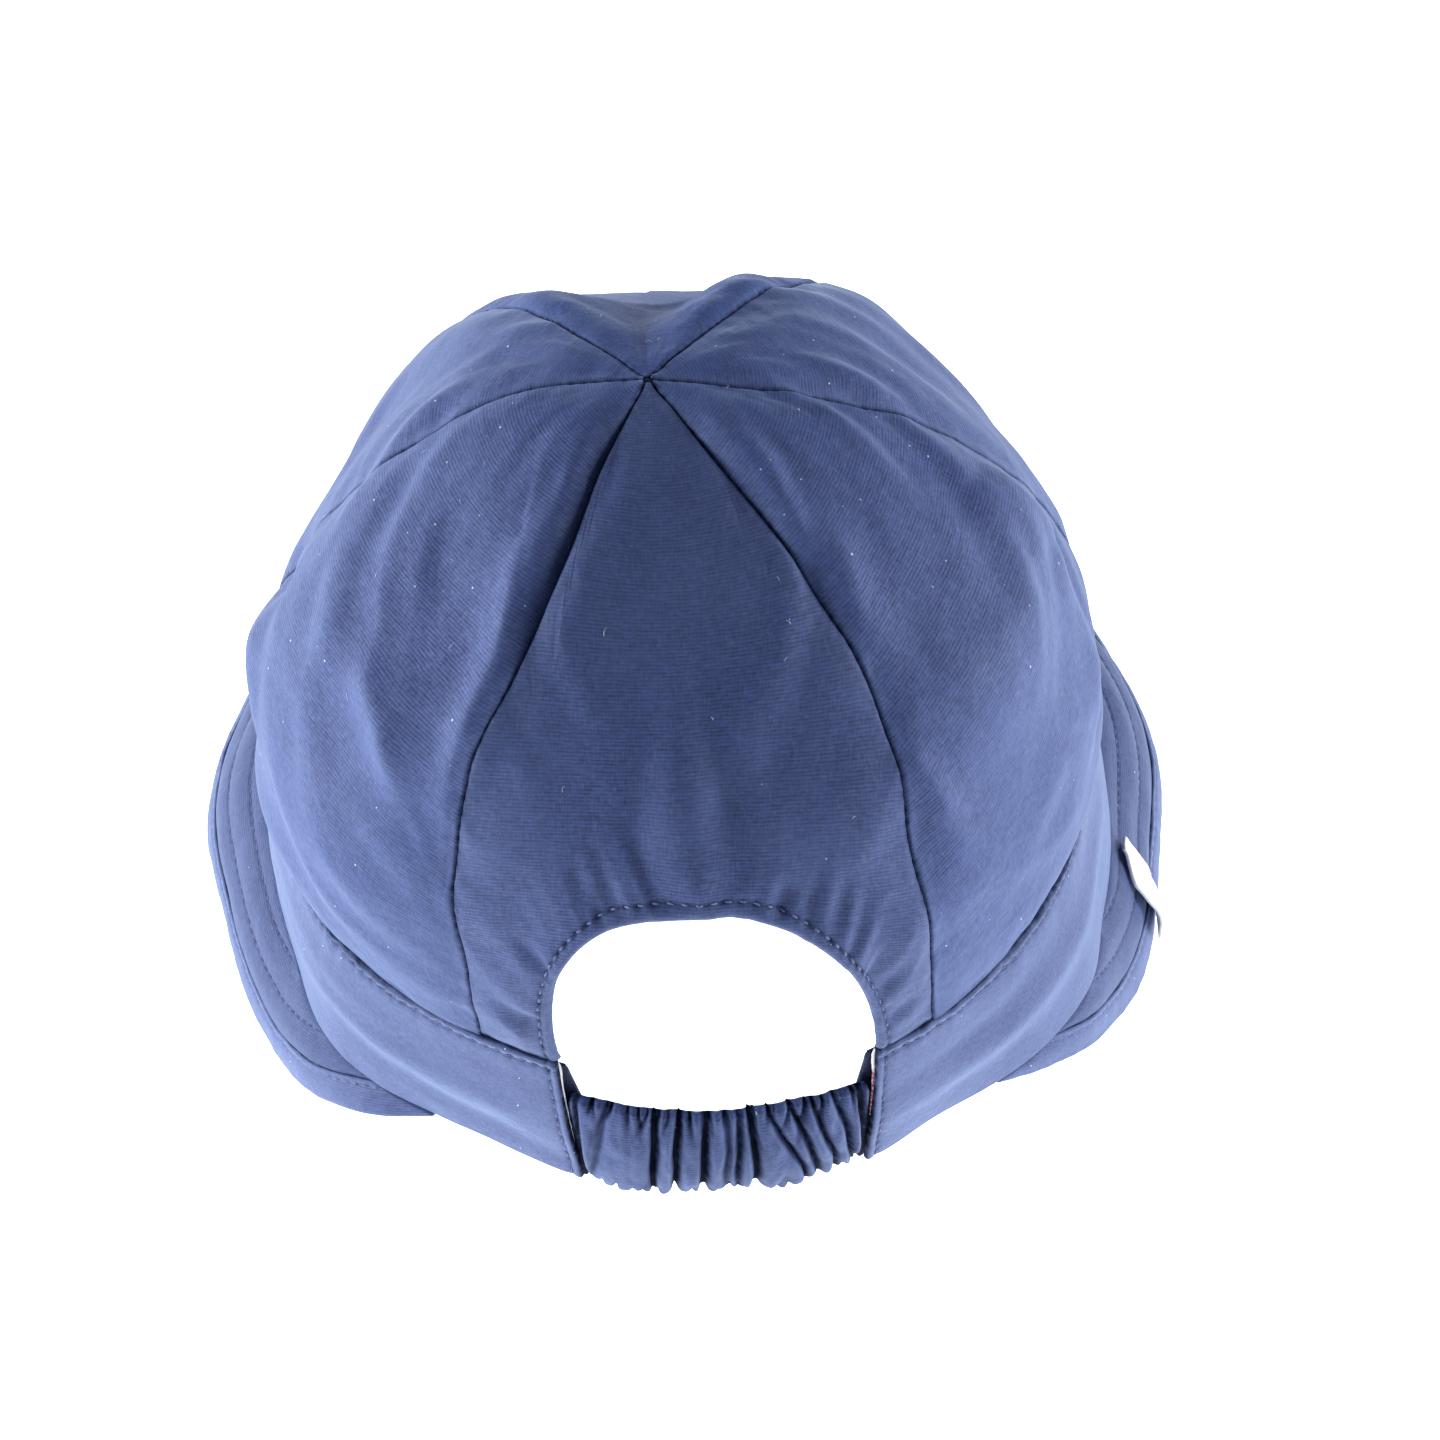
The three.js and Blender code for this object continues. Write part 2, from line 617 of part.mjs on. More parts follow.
const cap = new THREE.Group();
cap.name = 'sun_cap';
PANELS.forEach((panel) => {
  const isBack = panel.from === 'backLeft';
  const geometry = isBack ? backPanel(panel) : plainPanel(panel);
  cap.add(piece(panel.name, geometry, isBack ? BACK_COLOUR : CROWN_COLOUR));
});
cap.add(piece('band', band(), BAND_COLOUR));
cap.add(piece('elastic_strap', strap(), STRAP_COLOUR));
TAPES.forEach((row) => cap.add(piece(row.name, tape(row), row.colour)));
cap.add(piece('brim', brim(), BRIM_COLOUR));
cap.add(piece('brim_border', border(), BRIM_COLOUR));
cap.add(piece('label', label(), LABEL_COLOUR));

// The origin is under the middle of the cap, on the surface it stands on.
const middle = new THREE.Box3().setFromObject(cap).getCenter(new THREE.Vector3());
cap.position.set(-middle.x, -middle.y, 0);

const assembly = new THREE.Group();
assembly.name = 'assembly';
assembly.add(cap);

export default assembly;
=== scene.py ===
"""A small peaked sun cap: its cloth, stitching, label and stage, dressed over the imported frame."""
from collections import namedtuple

import bpy
import numpy as np
from bpy.props import FloatProperty, FloatVectorProperty, IntProperty, PointerProperty
from bpy.types import Operator, Panel, PropertyGroup
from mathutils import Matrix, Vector


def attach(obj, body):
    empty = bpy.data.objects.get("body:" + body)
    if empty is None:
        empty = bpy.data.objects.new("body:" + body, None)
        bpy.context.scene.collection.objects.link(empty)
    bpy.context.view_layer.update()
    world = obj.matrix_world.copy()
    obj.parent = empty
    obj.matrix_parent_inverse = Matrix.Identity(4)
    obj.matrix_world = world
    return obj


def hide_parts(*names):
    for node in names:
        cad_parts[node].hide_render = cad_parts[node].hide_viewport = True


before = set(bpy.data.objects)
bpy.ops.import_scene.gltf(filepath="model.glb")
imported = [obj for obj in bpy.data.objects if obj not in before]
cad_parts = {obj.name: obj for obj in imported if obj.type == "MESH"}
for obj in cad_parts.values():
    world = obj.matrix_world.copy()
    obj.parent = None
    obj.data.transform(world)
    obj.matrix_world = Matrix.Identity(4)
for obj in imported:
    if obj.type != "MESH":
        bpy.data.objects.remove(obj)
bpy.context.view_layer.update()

bl_info = {
    "name": "Peaked Sun Cap",
    "version": (1, 0, 0),
    "blender": (4, 5, 0),
    "location": "3D View > Sidebar > Sun Cap",
    "description": "Builds the cloth, stitching and stage of a small peaked sun cap",
    "category": "Add Mesh",
}

# Millimetres in the tables below. A turn is an angle in degrees about the upright axis: 0 at the
# middle of the back, rising towards the cap's right. "Along" runs from 0 at the crown's foot
# to 1 at its star.
MM = 0.001
AXIS_X, AXIS_Y = 0.825, 27.058  # the cap's upright axis in the frame
FULL_TURN = 360.0


def table(names, rows):
    """Rows as a dict of named numpy columns."""
    return {name: np.array([row[k] for row in rows], dtype=float) for k, name in enumerate(names)}


# The crown's profile from its foot to its star, as shares of its height and of its foot's radius.
PROFILE = table(("height", "radius"), (
    (0, 1), (0.12, 1.01), (0.3, 1.01), (0.5, 0.93), (0.68, 0.78),
    (0.82, 0.6), (0.92, 0.41), (0.98, 0.2), (1, 0),
))

# The turn at which each of the crown's seams runs, from the foot to the star.
SEAM_NAMES = ("back_right", "right", "front_right", "front_left", "left", "back_left")
SEAMS = table(("along",) + SEAM_NAMES, (
    (0, 29.6, 99, 148, 214, 261, 327),
    (0.15, 29.9, 99, 148, 214, 261, 326.8),
    (0.3, 30.2, 99.2, 147.5, 214, 261.2, 325.3),
    (0.45, 32.8, 96.6, 147, 214.5, 261.6, 325.4),
    (0.6, 35, 96.2, 146, 215, 264.2, 328.2),
    (0.75, 35, 94.6, 145, 216, 261.4, 329.6),
    (0.88, 33.4, 90.6, 144.2, 217.7, 258, 327.6),
    (1, 33, 90, 144, 218, 257, 327),
))

# A crown panel: its node, its two seams, how far its middle stands out, the tilt of its weave in
# degrees, the tone and gloss of its cloth, and for each seam the drop into it, the reach of that
# drop, and the rise beside it. The tone is painted light: a darker copy of the cloth for the back
# panel, which sits in more shade, and a lighter one for the front panel.
CrownPanel = namedtuple("CrownPanel", (
    "node", "first", "last", "puff", "tilt", "tone", "gloss", "first_drop", "last_drop"))
PANELS = tuple(CrownPanel(*row) for row in (
    ("crown_panel_back", "back_left", "back_right", -1.0, 1.0, 0.86, 1.0,
     (0.8, 0.9, 0.5), (1.1, 3.0, -0.2)),
    ("crown_panel_back_right", "back_right", "right", 0.5, -2.0, 1.0, 1.0,
     (1.3, 2.0, 1.4), (0.8, 1.1, 0.3)),
    ("crown_panel_front_right", "right", "front_right", 0.0, 2.0, 1.0, 1.0,
     (0.8, 1.1, 0.8), (0.8, 1.4, 0.4)),
    ("crown_panel_front", "front_right", "front_left", -5.0, -1.0, 1.05, 0.45,
     (0.7, 1.0, 0.1), (0.7, 1.0, 0.1)),
    ("crown_panel_front_left", "front_left", "left", -1.0, 2.0, 1.0, 1.0,
     (0.8, 1.1, 0.2), (0.8, 1.1, 0.6)),
    ("crown_panel_back_left", "left", "back_left", 0.5, -2.0, 1.0, 1.0,
     (0.8, 1.1, 0.3), (2.7, 6.0, 0.8)),
))

# Folds of the crown: turn, share of the way up, the angle of the fold's length (0 around, 90 up),
# half length, half width and height.
FOLDS = table(("turn", "up", "run", "half_length", "half_width", "height"), (
    (307.5, 0.43, -26, 11, 4.5, 1.8),
    (322.8, 0.545, -82, 16, 4, 1.6),
    (313, 0.11, -16, 24, 5, 0.7),
    (300, 0.2, -30, 20, 6, 1.1),
    (55, 0.42, 4, 32, 8, 1.4),
    (70, 0.16, 20, 24, 7, 1.3),
    (120, 0.55, 60, 18, 7, -1.3),
    (155, 0.72, 75, 12, 6, 1.2),
    (171, 0.71, 85, 16, 8, -2.0),
    (262, 0.42, 90, 14, 12, -1.2),
    (240, 0.6, 100, 20, 8, -1.3),
    (92, 0.24, 90, 26, 20, -0.63),
    (118, 0.36, 90, 30, 20, -1.89),
    (145, 0.5, 90, 24, 17, 2.61),
    (166, 0.54, 90, 24, 15, -4.41),
    (192, 0.53, 90, 26, 18, -2.34),
    (248, 0.36, 90, 32, 22, -5.22),
    (268, 0.25, 90, 26, 14, -1.08),
    (5, 0.5, 88, 24, 3.5, -1.0),
    (-1.5, 0.47, 88, 22, 4, 0.8),
    (-8.5, 0.44, 86, 14, 3, -0.7),
    (11, 0.44, 92, 16, 4, 0.6),
))

# Creases of the crown: the crest's path as turns and shares along, its height, and its half width
# to the left of the path and to the right.
CREASES = (
    (((300, 0.5), (303.5, 0.468), (309, 0.447), (315, 0.4), (318, 0.37)), 3.9, 5.5, 1.6),
    (((316.5, 0.72), (321, 0.65), (324, 0.58), (323.4, 0.52), (323.6, 0.44), (324.6, 0.37)), 2.6, 4.5, 1.4),
    (((302, 0.335), (310, 0.31), (322.5, 0.26)), 2.3, 4, 4),
    (((84, 0.41), (77, 0.43), (66, 0.45), (55, 0.46), (45, 0.445), (38, 0.42)), 3.1, 6, 8),
    (((91.5, 0.53), (88, 0.47), (84, 0.39)), 2.9, 2.6, 3.2),
    (((85.5, 0.55), (82.5, 0.48), (79, 0.42)), 2.1, 2.6, 3.2),
    (((95, 0.36), (87, 0.29), (79, 0.22)), -2.6, 3, 4),
    (((89, 0.36), (81, 0.27), (75, 0.2)), 2.3, 3, 3),
    (((34.8, 0.45), (36, 0.4), (37.6, 0.34)), 1.6, 1.4, 2),
    (((34.2, 0.36), (38.5, 0.3), (42, 0.27)), 1.3, 1.6, 2),
    (((258, 0.31), (266, 0.3), (273, 0.385)), -2.1, 2.6, 2.6),
    (((262, 0.23), (268, 0.235), (280, 0.29)), 2.3, 3.4, 5),
    (((22.5, 0.1), (26, 0.14), (29, 0.2)), 1.0, 1.2, 1.6),
    (((22.3, 0.155), (25.5, 0.19), (28.5, 0.25)), 0.9, 1.2, 1.6),
    (((23, 0.05), (26, 0.07), (28.5, 0.11)), 0.8, 1.2, 1.6),
    (((327.5, 0.2), (332, 0.22), (336.5, 0.235)), -1.0, 1.8, 1.8),
    (((328, 0.12), (332, 0.09), (336, 0.04)), 1.0, 1.4, 2),
    (((328, 0.16), (332, 0.15), (337, 0.12)), 0.7, 1.4, 2),
    (((16, 0.64), (13, 0.5), (9.5, 0.36)), -1.2, 5, 5),
    (((352, 0.62), (349, 0.48), (347, 0.36)), -0.9, 5, 5),
    (((149, 0.75), (155, 0.72), (163, 0.7), (172, 0.71)), 1.5, 2, 3),
    (((148.5, 0.68), (156, 0.655), (168, 0.64), (182, 0.66)), 1.7, 2, 3),
    (((150, 0.83), (158, 0.8), (172, 0.8)), 1.1, 1.8, 2.4),
    (((213, 0.63), (203, 0.69), (190, 0.7)), 1.2, 2.4, 4),
    (((296, 0.6), (301, 0.55), (303, 0.47)), -1.6, 4, 4),
    (((284, 0.55), (289, 0.47), (291, 0.4)), 1.3, 4, 5),
    (((306, 0.66), (311, 0.58), (314, 0.5)), -1.2, 4, 4),
    (((296, 0.3), (306, 0.225), (318, 0.16), (324, 0.13)), 1.8, 3.5, 3),
    (((292, 0.22), (303, 0.15), (316, 0.095)), 1.4, 3, 2.5),
    (((60, 0.3), (68, 0.22), (80, 0.16)), 1.3, 4, 3),
    (((40, 0.2), (52, 0.14), (66, 0.11)), 1.2, 3, 2.5),
)

# Creases of the strap, as turns at its upper and lower edge, how deep each goes as a share of the
# strap's fullness, and how far the fold after it laps over it in degrees.
STRAP_CREASES = table(("upper", "lower", "depth", "lap"), (
    (-22, -22, 0, 0), (-19.6, -18.4, 0.7, 0), (-15.2, -17.4, 0.3, 0), (-9.2, -9.2, 1, 0.5),
    (-5.9, -6.6, 0.95, 0.6), (-2.3, -2.8, 1, 0.5), (0.3, 0.5, 0.45, 0.2), (1.8, 2.0, 0.7, 0.3),
    (3.4, 4.2, 1, 0.4), (5.6, 11.0, 0.7, 0.8), (8.8, 12.9, 0.8, 0.5), (12.0, 15.2, 0.75, 0.45),
    (15.0, 17.4, 0.7, 0.4), (18.0, 18.8, 0.9, 0.3), (22, 22, 0, 0),
))

# How far the crown's foot and the band's hem stand out from their ovals, and how far the crown's
# cloth hangs out over the band.
OVALS = table(("turn", "foot", "hem", "overhang"), (
    (0, 2.4, 0, 0), (10, 2.4, 0, 0), (20, 3, -1, 0), (30, 2.5, -2.3, 0), (41, 1.4, -0.4, 0.3),
    (50, 0.8, 1.8, 0.9), (60, 0.3, 3.1, 1.6), (72, -0.2, 1, 2.2), (88, 0.5, 1.1, 2.2),
    (103, 0.5, 2.6, 1.2), (125, 0, 0, 0.6), (235, 0, 0, 0.6), (257, 2, 2.4, 1.2),
    (270, 4, 0.9, 1.8), (285, 5.2, 0.6, 1.9), (300, 5, 2.8, 1.6), (310, 4.2, 1.6, 0.9),
    (320, 3, -1.1, 0.3), (328, 2.3, -2.3, 0), (340, 2, -1.2, 0), (350, 2.2, 0, 0), (360, 2.4, 0, 0),
))

# The brim: its reach as a share of the peak's, its drop as a share of the brim lift, and how
# steeply it falls at its root and at its edge, in degrees.
BRIM = table(("turn", "reach", "drop", "root_slope", "edge_slope"), (
    (40, 0, 0, 55, 72), (53, 0.05, 0.35, 55, 72), (62, 0.09, 0.65, 55, 72), (72, 0.18, 0.93, 52, 72),
    (80, 0.215, 1, 49, 76), (92, 0.265, 1, 44, 76), (112, 0.445, 1, 20, 76), (140, 0.7, 1, 14, 66),
    (158, 0.93, 1, 14, 48), (180, 1, 1, 14, 42), (202, 0.9, 1, 14, 48), (220, 0.64, 1, 14, 62),
    (248, 0.41, 1, 18, 78), (268, 0.245, 1, 34, 84), (280, 0.185, 1, 46, 85), (288, 0.155, 0.93, 52, 85),
    (298, 0.11, 0.66, 58, 85), (307, 0.085, 0.36, 62, 85), (320, 0, 0, 62, 85),
))

# Inner layers at the band's ends: node, side, depth behind the band's face at its free edge and
# further in, how far it shows past the band's end at its foot and at its top, its lowest and
# highest level above the hem, and its finish.
TAPES = (
    ("lining_edge_left", -1, 1.15, 1.6, -0.2, 0.38, 3, 33.5, "white_tape"),
    ("lining_edge_right", 1, 1.15, 1.6, 0.05, 0.6, 14, 33.5, "red_tape"),
    ("inner_facing_left", -1, 3.8, 3.8, 3.9, 0.0, 14, 28.5, "dark_facing"),
    ("inner_facing_right", 1, 3.8, 3.8, 3.4, 0.2, 14, 29, "dark_facing"),
)

# Folds of the band, as the crown's, with levels above the hem.
BAND_FOLDS = table(("turn", "up", "run", "half_length", "half_width", "height"), (
    (310, 17, -4, 34, 3.6, 0.9),
    (322, 9, -8, 22, 3, -0.7),
    (296, 24, -3, 26, 3, 0.6),
    (46, 15, 6, 30, 3.6, 0.9),
    (38, 22, 4, 20, 3, -0.6),
    (66, 20, 3, 26, 3.4, 0.6),
    (120, 16, 2, 30, 4, 0.5),
    (230, 18, -3, 30, 4, 0.5),
))

# Quilting rows of the brim, as distances back from its edge.
QUILT_ROWS = (17.5, 26.5, 35.5, 44.5)

# Lights: place in metres, size and power.
LIGHTS = {
    "left_light": ((1.1, 0.05, 0.4), 0.55, 15),
    "right_light": ((-1.1, 0.05, 0.4), 0.55, 13),
    "far_light": ((0.9, -0.7, 0.32), 0.6, 5),
}
LIGHT_AIM = (0.0, 0.01, 0.08)
SKY_COLOUR = (0.78, 0.82, 1.0, 1)
SKY_STRENGTH = 0.19
FLOOR_HALF_SIZE = 8
FLOOR_GLOW = 2.1
SENSOR_WIDTH = 36.0
AIM_HEIGHT = 73.0  # the level that the camera looks at, above the floor
FRAME_PIXELS = 1440
FRAME_SHIFT = (28.3, -30.0)  # how far the frame is moved on the sensor, in pixels


class CapSizes(PropertyGroup):
    """Sizes of the cap."""
    band_radius_x: FloatProperty(
        name="Band radius, sideways", description="Half width of the band at its lower edge",
        default=0.084, unit="LENGTH")
    band_radius_y: FloatProperty(
        name="Band radius, front to back", description="Half depth of the band at its lower edge",
        default=0.086, unit="LENGTH")
    seam_radius_x: FloatProperty(
        name="Crown foot radius, sideways", description="Half width of the crown at its foot",
        default=0.0775, unit="LENGTH")
    seam_radius_y: FloatProperty(
        name="Crown foot radius, front to back", description="Half depth of the crown at its foot",
        default=0.0795, unit="LENGTH")
    band_height: FloatProperty(
        name="Band height", description="Height of the band above its lower edge",
        default=0.034, unit="LENGTH")
    crown_height: FloatProperty(
        name="Crown height", description="Height of the crown above the band", default=0.092, unit="LENGTH")
    brim_lift: FloatProperty(
        name="Brim lift", description="Height of the band's lower edge above the floor",
        default=0.028, unit="LENGTH")
    peak_reach: FloatProperty(
        name="Peak reach", description="How far the peak reaches from the band", default=0.055, unit="LENGTH")
    border_width: FloatProperty(
        name="Border width", description="Width of the strip outside the brim's outermost seam",
        default=0.009, unit="LENGTH")
    strap_height: FloatProperty(
        name="Strap height", description="Height of the gathered strap", default=0.0235, unit="LENGTH")
    strap_fullness: FloatProperty(
        name="Strap fullness", description="Depth of the strap's gathers", default=0.003, unit="LENGTH")
    opening_height: FloatProperty(
        name="Opening height", description="Height of the back opening above the band",
        default=0.042, unit="LENGTH")
    opening_hem: FloatProperty(
        name="Opening hem", description="Width of the hem at the top of the back opening",
        default=0.0034, unit="LENGTH")
    label_length: FloatProperty(
        name="Label length", description="Length of the label", default=0.0255, unit="LENGTH")
    label_width: FloatProperty(
        name="Label width", description="Width of the label", default=0.008, unit="LENGTH")
    stitch_pitch: FloatProperty(
        name="Stitch pitch", description="Length of one stitch with its gap", default=0.0026, unit="LENGTH")
    lint_count: IntProperty(
        name="Lint", description="Number of short loose fibres on the cloth", default=80)


class CapColours(PropertyGroup):
    """Colours of the cap."""
    cloth: FloatVectorProperty(
        name="Cloth", description="Colour of the outer cloth", default=(0.035, 0.062, 0.198),
        size=3, subtype="COLOR", min=0, max=1)
    # cloth_light is the lighter tone of the cloth's random mottle and fluff, and also the colour of the
    # painted highlights along seam rims, edges and crests.
    cloth_light: FloatVectorProperty(
        name="Lighter cloth", description="Colour of the cloth where it is rubbed", default=(0.1, 0.152, 0.33),
        size=3, subtype="COLOR", min=0, max=1)
    thread: FloatVectorProperty(
        name="Thread", description="Colour of the stitches", default=(0.075, 0.105, 0.25),
        size=3, subtype="COLOR", min=0, max=1)
    tape: FloatVectorProperty(
        name="Tape", description="Colour of the label and of the white tape", default=(0.86, 0.87, 0.88),
        size=3, subtype="COLOR", min=0, max=1)
    red: FloatVectorProperty(
        name="Red yarn", description="Colour of the coloured yarn in the right tape",
        default=(0.34, 0.05, 0.1), size=3, subtype="COLOR", min=0, max=1)


class StageLook(PropertyGroup):
    """The floor, the light and the camera."""
    camera_turn: FloatProperty(
        name="Camera turn", description="Azimuth of the camera", default=np.radians(4.0), subtype="ANGLE")
    camera_height: FloatProperty(
        name="Camera height", description="Angle of the camera above the floor",
        default=np.radians(52.5), subtype="ANGLE")
    camera_distance: FloatProperty(
        name="Camera distance", description="Distance from the camera to the cap",
        default=0.65, unit="LENGTH")
    focal_length: FloatProperty(
        name="Focal length", description="Lens length in millimetres on a 36 mm sensor", default=84.0)
    floor_colour: FloatVectorProperty(
        name="Floor", description="Colour of the floor", default=(0.86, 0.87, 0.88),
        size=3, subtype="COLOR", min=0, max=1)


# Curves and noise


def curve_through(columns, across, up):
    """Smooth curve through two columns of a table, with no overshoot between its rows."""
    xs, ys = columns[across], columns[up]
    steps = np.diff(xs)
    rises = np.diff(ys) / steps
    before = np.r_[rises[:1], rises]
    after = np.r_[rises, rises[-1:]]
    product = before * after
    total = np.where(np.abs(before + after) > 1e-12, before + after, 1)
    slopes = np.where(product > 0, 2 * product / total, 0)

    def at(x):
        inside = np.clip(x, xs[0], xs[-1])
        i = np.clip(np.searchsorted(xs, inside, side="left") - 1, 0, len(steps) - 1)
        s = (inside - xs[i]) / steps[i]
        blend = s * s * (3 - 2 * s)
        bend = s * (1 - s) * steps[i]
        return ys[i] + blend * (ys[i + 1] - ys[i]) + bend * ((1 - s) * slopes[i] - s * slopes[i + 1])
    return at


def smoothstep(x, low, high):
    """0 below low, 1 above high and a smooth ramp between them."""
    s = np.clip((x - low) / (high - low), 0, 1)
    return s * s * (3 - 2 * s)


def soft_noise(places, seed):
    """Smooth value noise between -1 and 1 at places given in cells, an array of (..., 3)."""
    cell = np.floor(places).astype(np.int64)
    part = places - cell
    part = part * part * (3 - 2 * part)
    total = 0
    for corner in np.ndindex(2, 2, 2):
        spot = cell + np.array(corner)
        mixed = seed * 2654435761
        for axis, factor in enumerate((73856093, 19349663, 83492791)):
            mixed = mixed ^ spot[..., axis] * factor
        mixed = (mixed ^ (mixed >> 13)) * 1274126177 & 0xFFFFFFFF
        value = ((mixed ^ (mixed >> 16)) & 0xFFFF) / 32767.5 - 1
        weight = 1
        for axis in range(3):
            weight = weight * (part[..., axis] if corner[axis] else 1 - part[..., axis])
        total = total + value * weight
    return total


def noise_of(u, v, seed):
    u, v, w = np.broadcast_arrays(u, v, 0.0)
    return soft_noise(np.stack([u, v, w], -1), seed)


def turned_edge(distance, radius):
    """How far a turned cloth edge drops, at a distance from its seam."""
    inside = np.clip(distance, 0, radius)
    return radius - np.sqrt(np.maximum(radius ** 2 - (radius - inside) ** 2, 0))


# The cap's surfaces


def turn_from(start, turn):
    """The way from one turn to another, between minus and plus half a turn."""
    return (turn - start + FULL_TURN / 2) % FULL_TURN - FULL_TURN / 2


def folds_height(folds, turn, up, radius, length=1.0):
    """Height of a table's folds at each point. length is the millimetres in one unit of up."""
    total = 0
    for row in zip(*folds.values()):
        fold = dict(zip(folds, row))
        around = np.radians(turn_from(fold["turn"], turn)) * radius
        above = (up - fold["up"]) * length
        run = np.radians(fold["run"])
        lengthwise = (around * np.cos(run) + above * np.sin(run)) / fold["half_length"]
        crosswise = (above * np.cos(run) - around * np.sin(run)) / fold["half_width"]
        total = total + fold["height"] * np.exp(-lengthwise ** 2 - crosswise ** 2)
    return total


class CapForm:
    """The cap's surfaces, worked out from its sizes. All lengths are in millimetres."""
    star_radius = 1.1
    seam_lap = 0.16  # cloth of neighbouring panels laps this far past their seam
    swell = 1.0  # how far the middle of the band's height stands out
    lean = (6.5, -6.0)  # how far the crown's top leans over from the upright axis
    star_shift = (0.7, -2.0)  # how far the star lies from the middle of the top
    star_reach = 0.5  # the share of the foot's radius within which the cloth is drawn to the star
    seam_sink = 0.8
    seam_softness = 5.0
    fold_fade = 0.06  # folds fade out over this share of the way above the crown's foot
    overhang_level = 8.0
    overhang_reach = 7.5
    gap = 0.1  # between the band's hem and the brim
    tuck_in = 2.2  # how far the brim runs in under the band
    opening_mid_turn = -0.5
    opening_half_turn = 21.4
    opening_roundness = (3.05, 2.4)  # of its left and its right corner
    right_end_top = 20.9
    right_end_hem = 19.4
    left_end_top = 22.3
    left_end_hem = 18.5

    def __init__(self, sizes):
        for name in sizes.__annotations__:
            value = getattr(sizes, name)
            setattr(self, name, value / MM if isinstance(value, float) else value)
        self.foot_radius = (self.seam_radius_x + self.seam_radius_y) / 2
        self.band_top = self.brim_lift + self.band_height
        lengths = np.hypot(np.diff(PROFILE["height"]) * self.crown_height,
                           np.diff(PROFILE["radius"]) * self.foot_radius)
        self.profile_length = lengths.sum()
        rows = dict(PROFILE, along=np.r_[0, np.cumsum(lengths)] / self.profile_length)
        self.height_along = curve_through(rows, "along", "height")
        self.radius_along = curve_through(rows, "along", "radius")
        self.along_at_height = curve_through(rows, "height", "along")
        self.foot = curve_through(OVALS, "turn", "foot")
        self.hem = curve_through(OVALS, "turn", "hem")
        self.overhang = curve_through(OVALS, "turn", "overhang")
        self.seam = {name: curve_through(SEAMS, "along", name) for name in SEAM_NAMES}
        self.reach, self.drop, self.root_slope, self.edge_slope = (
            curve_through(BRIM, "turn", name) for name in ("reach", "drop", "root_slope", "edge_slope"))
        self.along_end = 1 - self.star_radius / self.profile_length

    def edges(self, first, last, along, lap=0.0):
        """Turns of a panel's two seams, with lap millimetres of cloth past each of them."""
        start, end = self.seam[first](along), self.seam[last](along)
        past = np.degrees(lap / np.maximum(self.radius_along(along) * self.foot_radius, 1))
        return np.where(start > end, start - FULL_TURN, start) - past, end + past

    def puff(self, turn, along):
        """How far the middles of the panels stand out."""
        total = 0
        for panel in PANELS:
            start, end = self.edges(panel.first, panel.last, along)
            share = ((turn - start) % FULL_TURN) / (end - start)
            swell = np.sin(np.pi * np.clip(share, 0, 1)) ** 2 * 27 / 4 * along * along * (1 - along)
            total = total + np.where(share < 1, panel.puff * swell, 0)
        return total

    def creases(self, turn, along, radius):
        """Lift of the creases, and how near a point is to a crest."""
        lift, crest = np.zeros(np.shape(turn)), np.zeros(np.shape(turn))
        for path, height, left, right in CREASES:
            path = np.array(path)
            around = np.radians(turn_from(path[0, 0], turn)) * radius
            up = (along - path[0, 1]) * self.profile_length
            mid_radius = self.radius_along(path[:, 1].mean()) * self.foot_radius
            knots = np.stack([np.radians(turn_from(path[0, 0], path[:, 0])) * mid_radius,
                              (path[:, 1] - path[0, 1]) * self.profile_length], -1)
            spans = np.linalg.norm(np.diff(knots, axis=0), axis=1)
            starts = np.r_[0, np.cumsum(spans)]
            nearest, side = np.full(np.shape(turn), 1e9), np.ones(np.shape(turn))
            place = np.zeros(np.shape(turn))
            for k, span in enumerate(spans):
                way = (knots[k + 1] - knots[k]) / span
                x, y = around - knots[k, 0], up - knots[k, 1]
                run = np.clip(x * way[0] + y * way[1], 0, span)
                away = np.hypot(x - run * way[0], y - run * way[1])
                closer = away < nearest
                side = np.where(closer, np.where(way[0] * y - way[1] * x > 0, left, right), side)
                place = np.where(closer, (starts[k] + run) / starts[-1], place)
                nearest = np.minimum(nearest, away)
            fade = np.sin(np.pi * (0.06 + 0.88 * place)) ** 0.8
            width = np.minimum(left, right)
            blend = np.exp(-nearest / side) * (1 + nearest / side)
            lift = lift + height * fade * blend
            crest = np.maximum(crest, np.sign(height) * fade * np.exp(-(nearest / (0.5 * width)) ** 2))
        return lift, crest

    def sink(self, turn, along, radius):
        """How far the cloth sinks towards the seams."""
        total = 0
        for seam in self.seam.values():
            away = np.radians(turn_from(seam(along), turn)) * radius / self.seam_softness
            total = total + self.seam_sink * np.exp(-away ** 2)
        return total

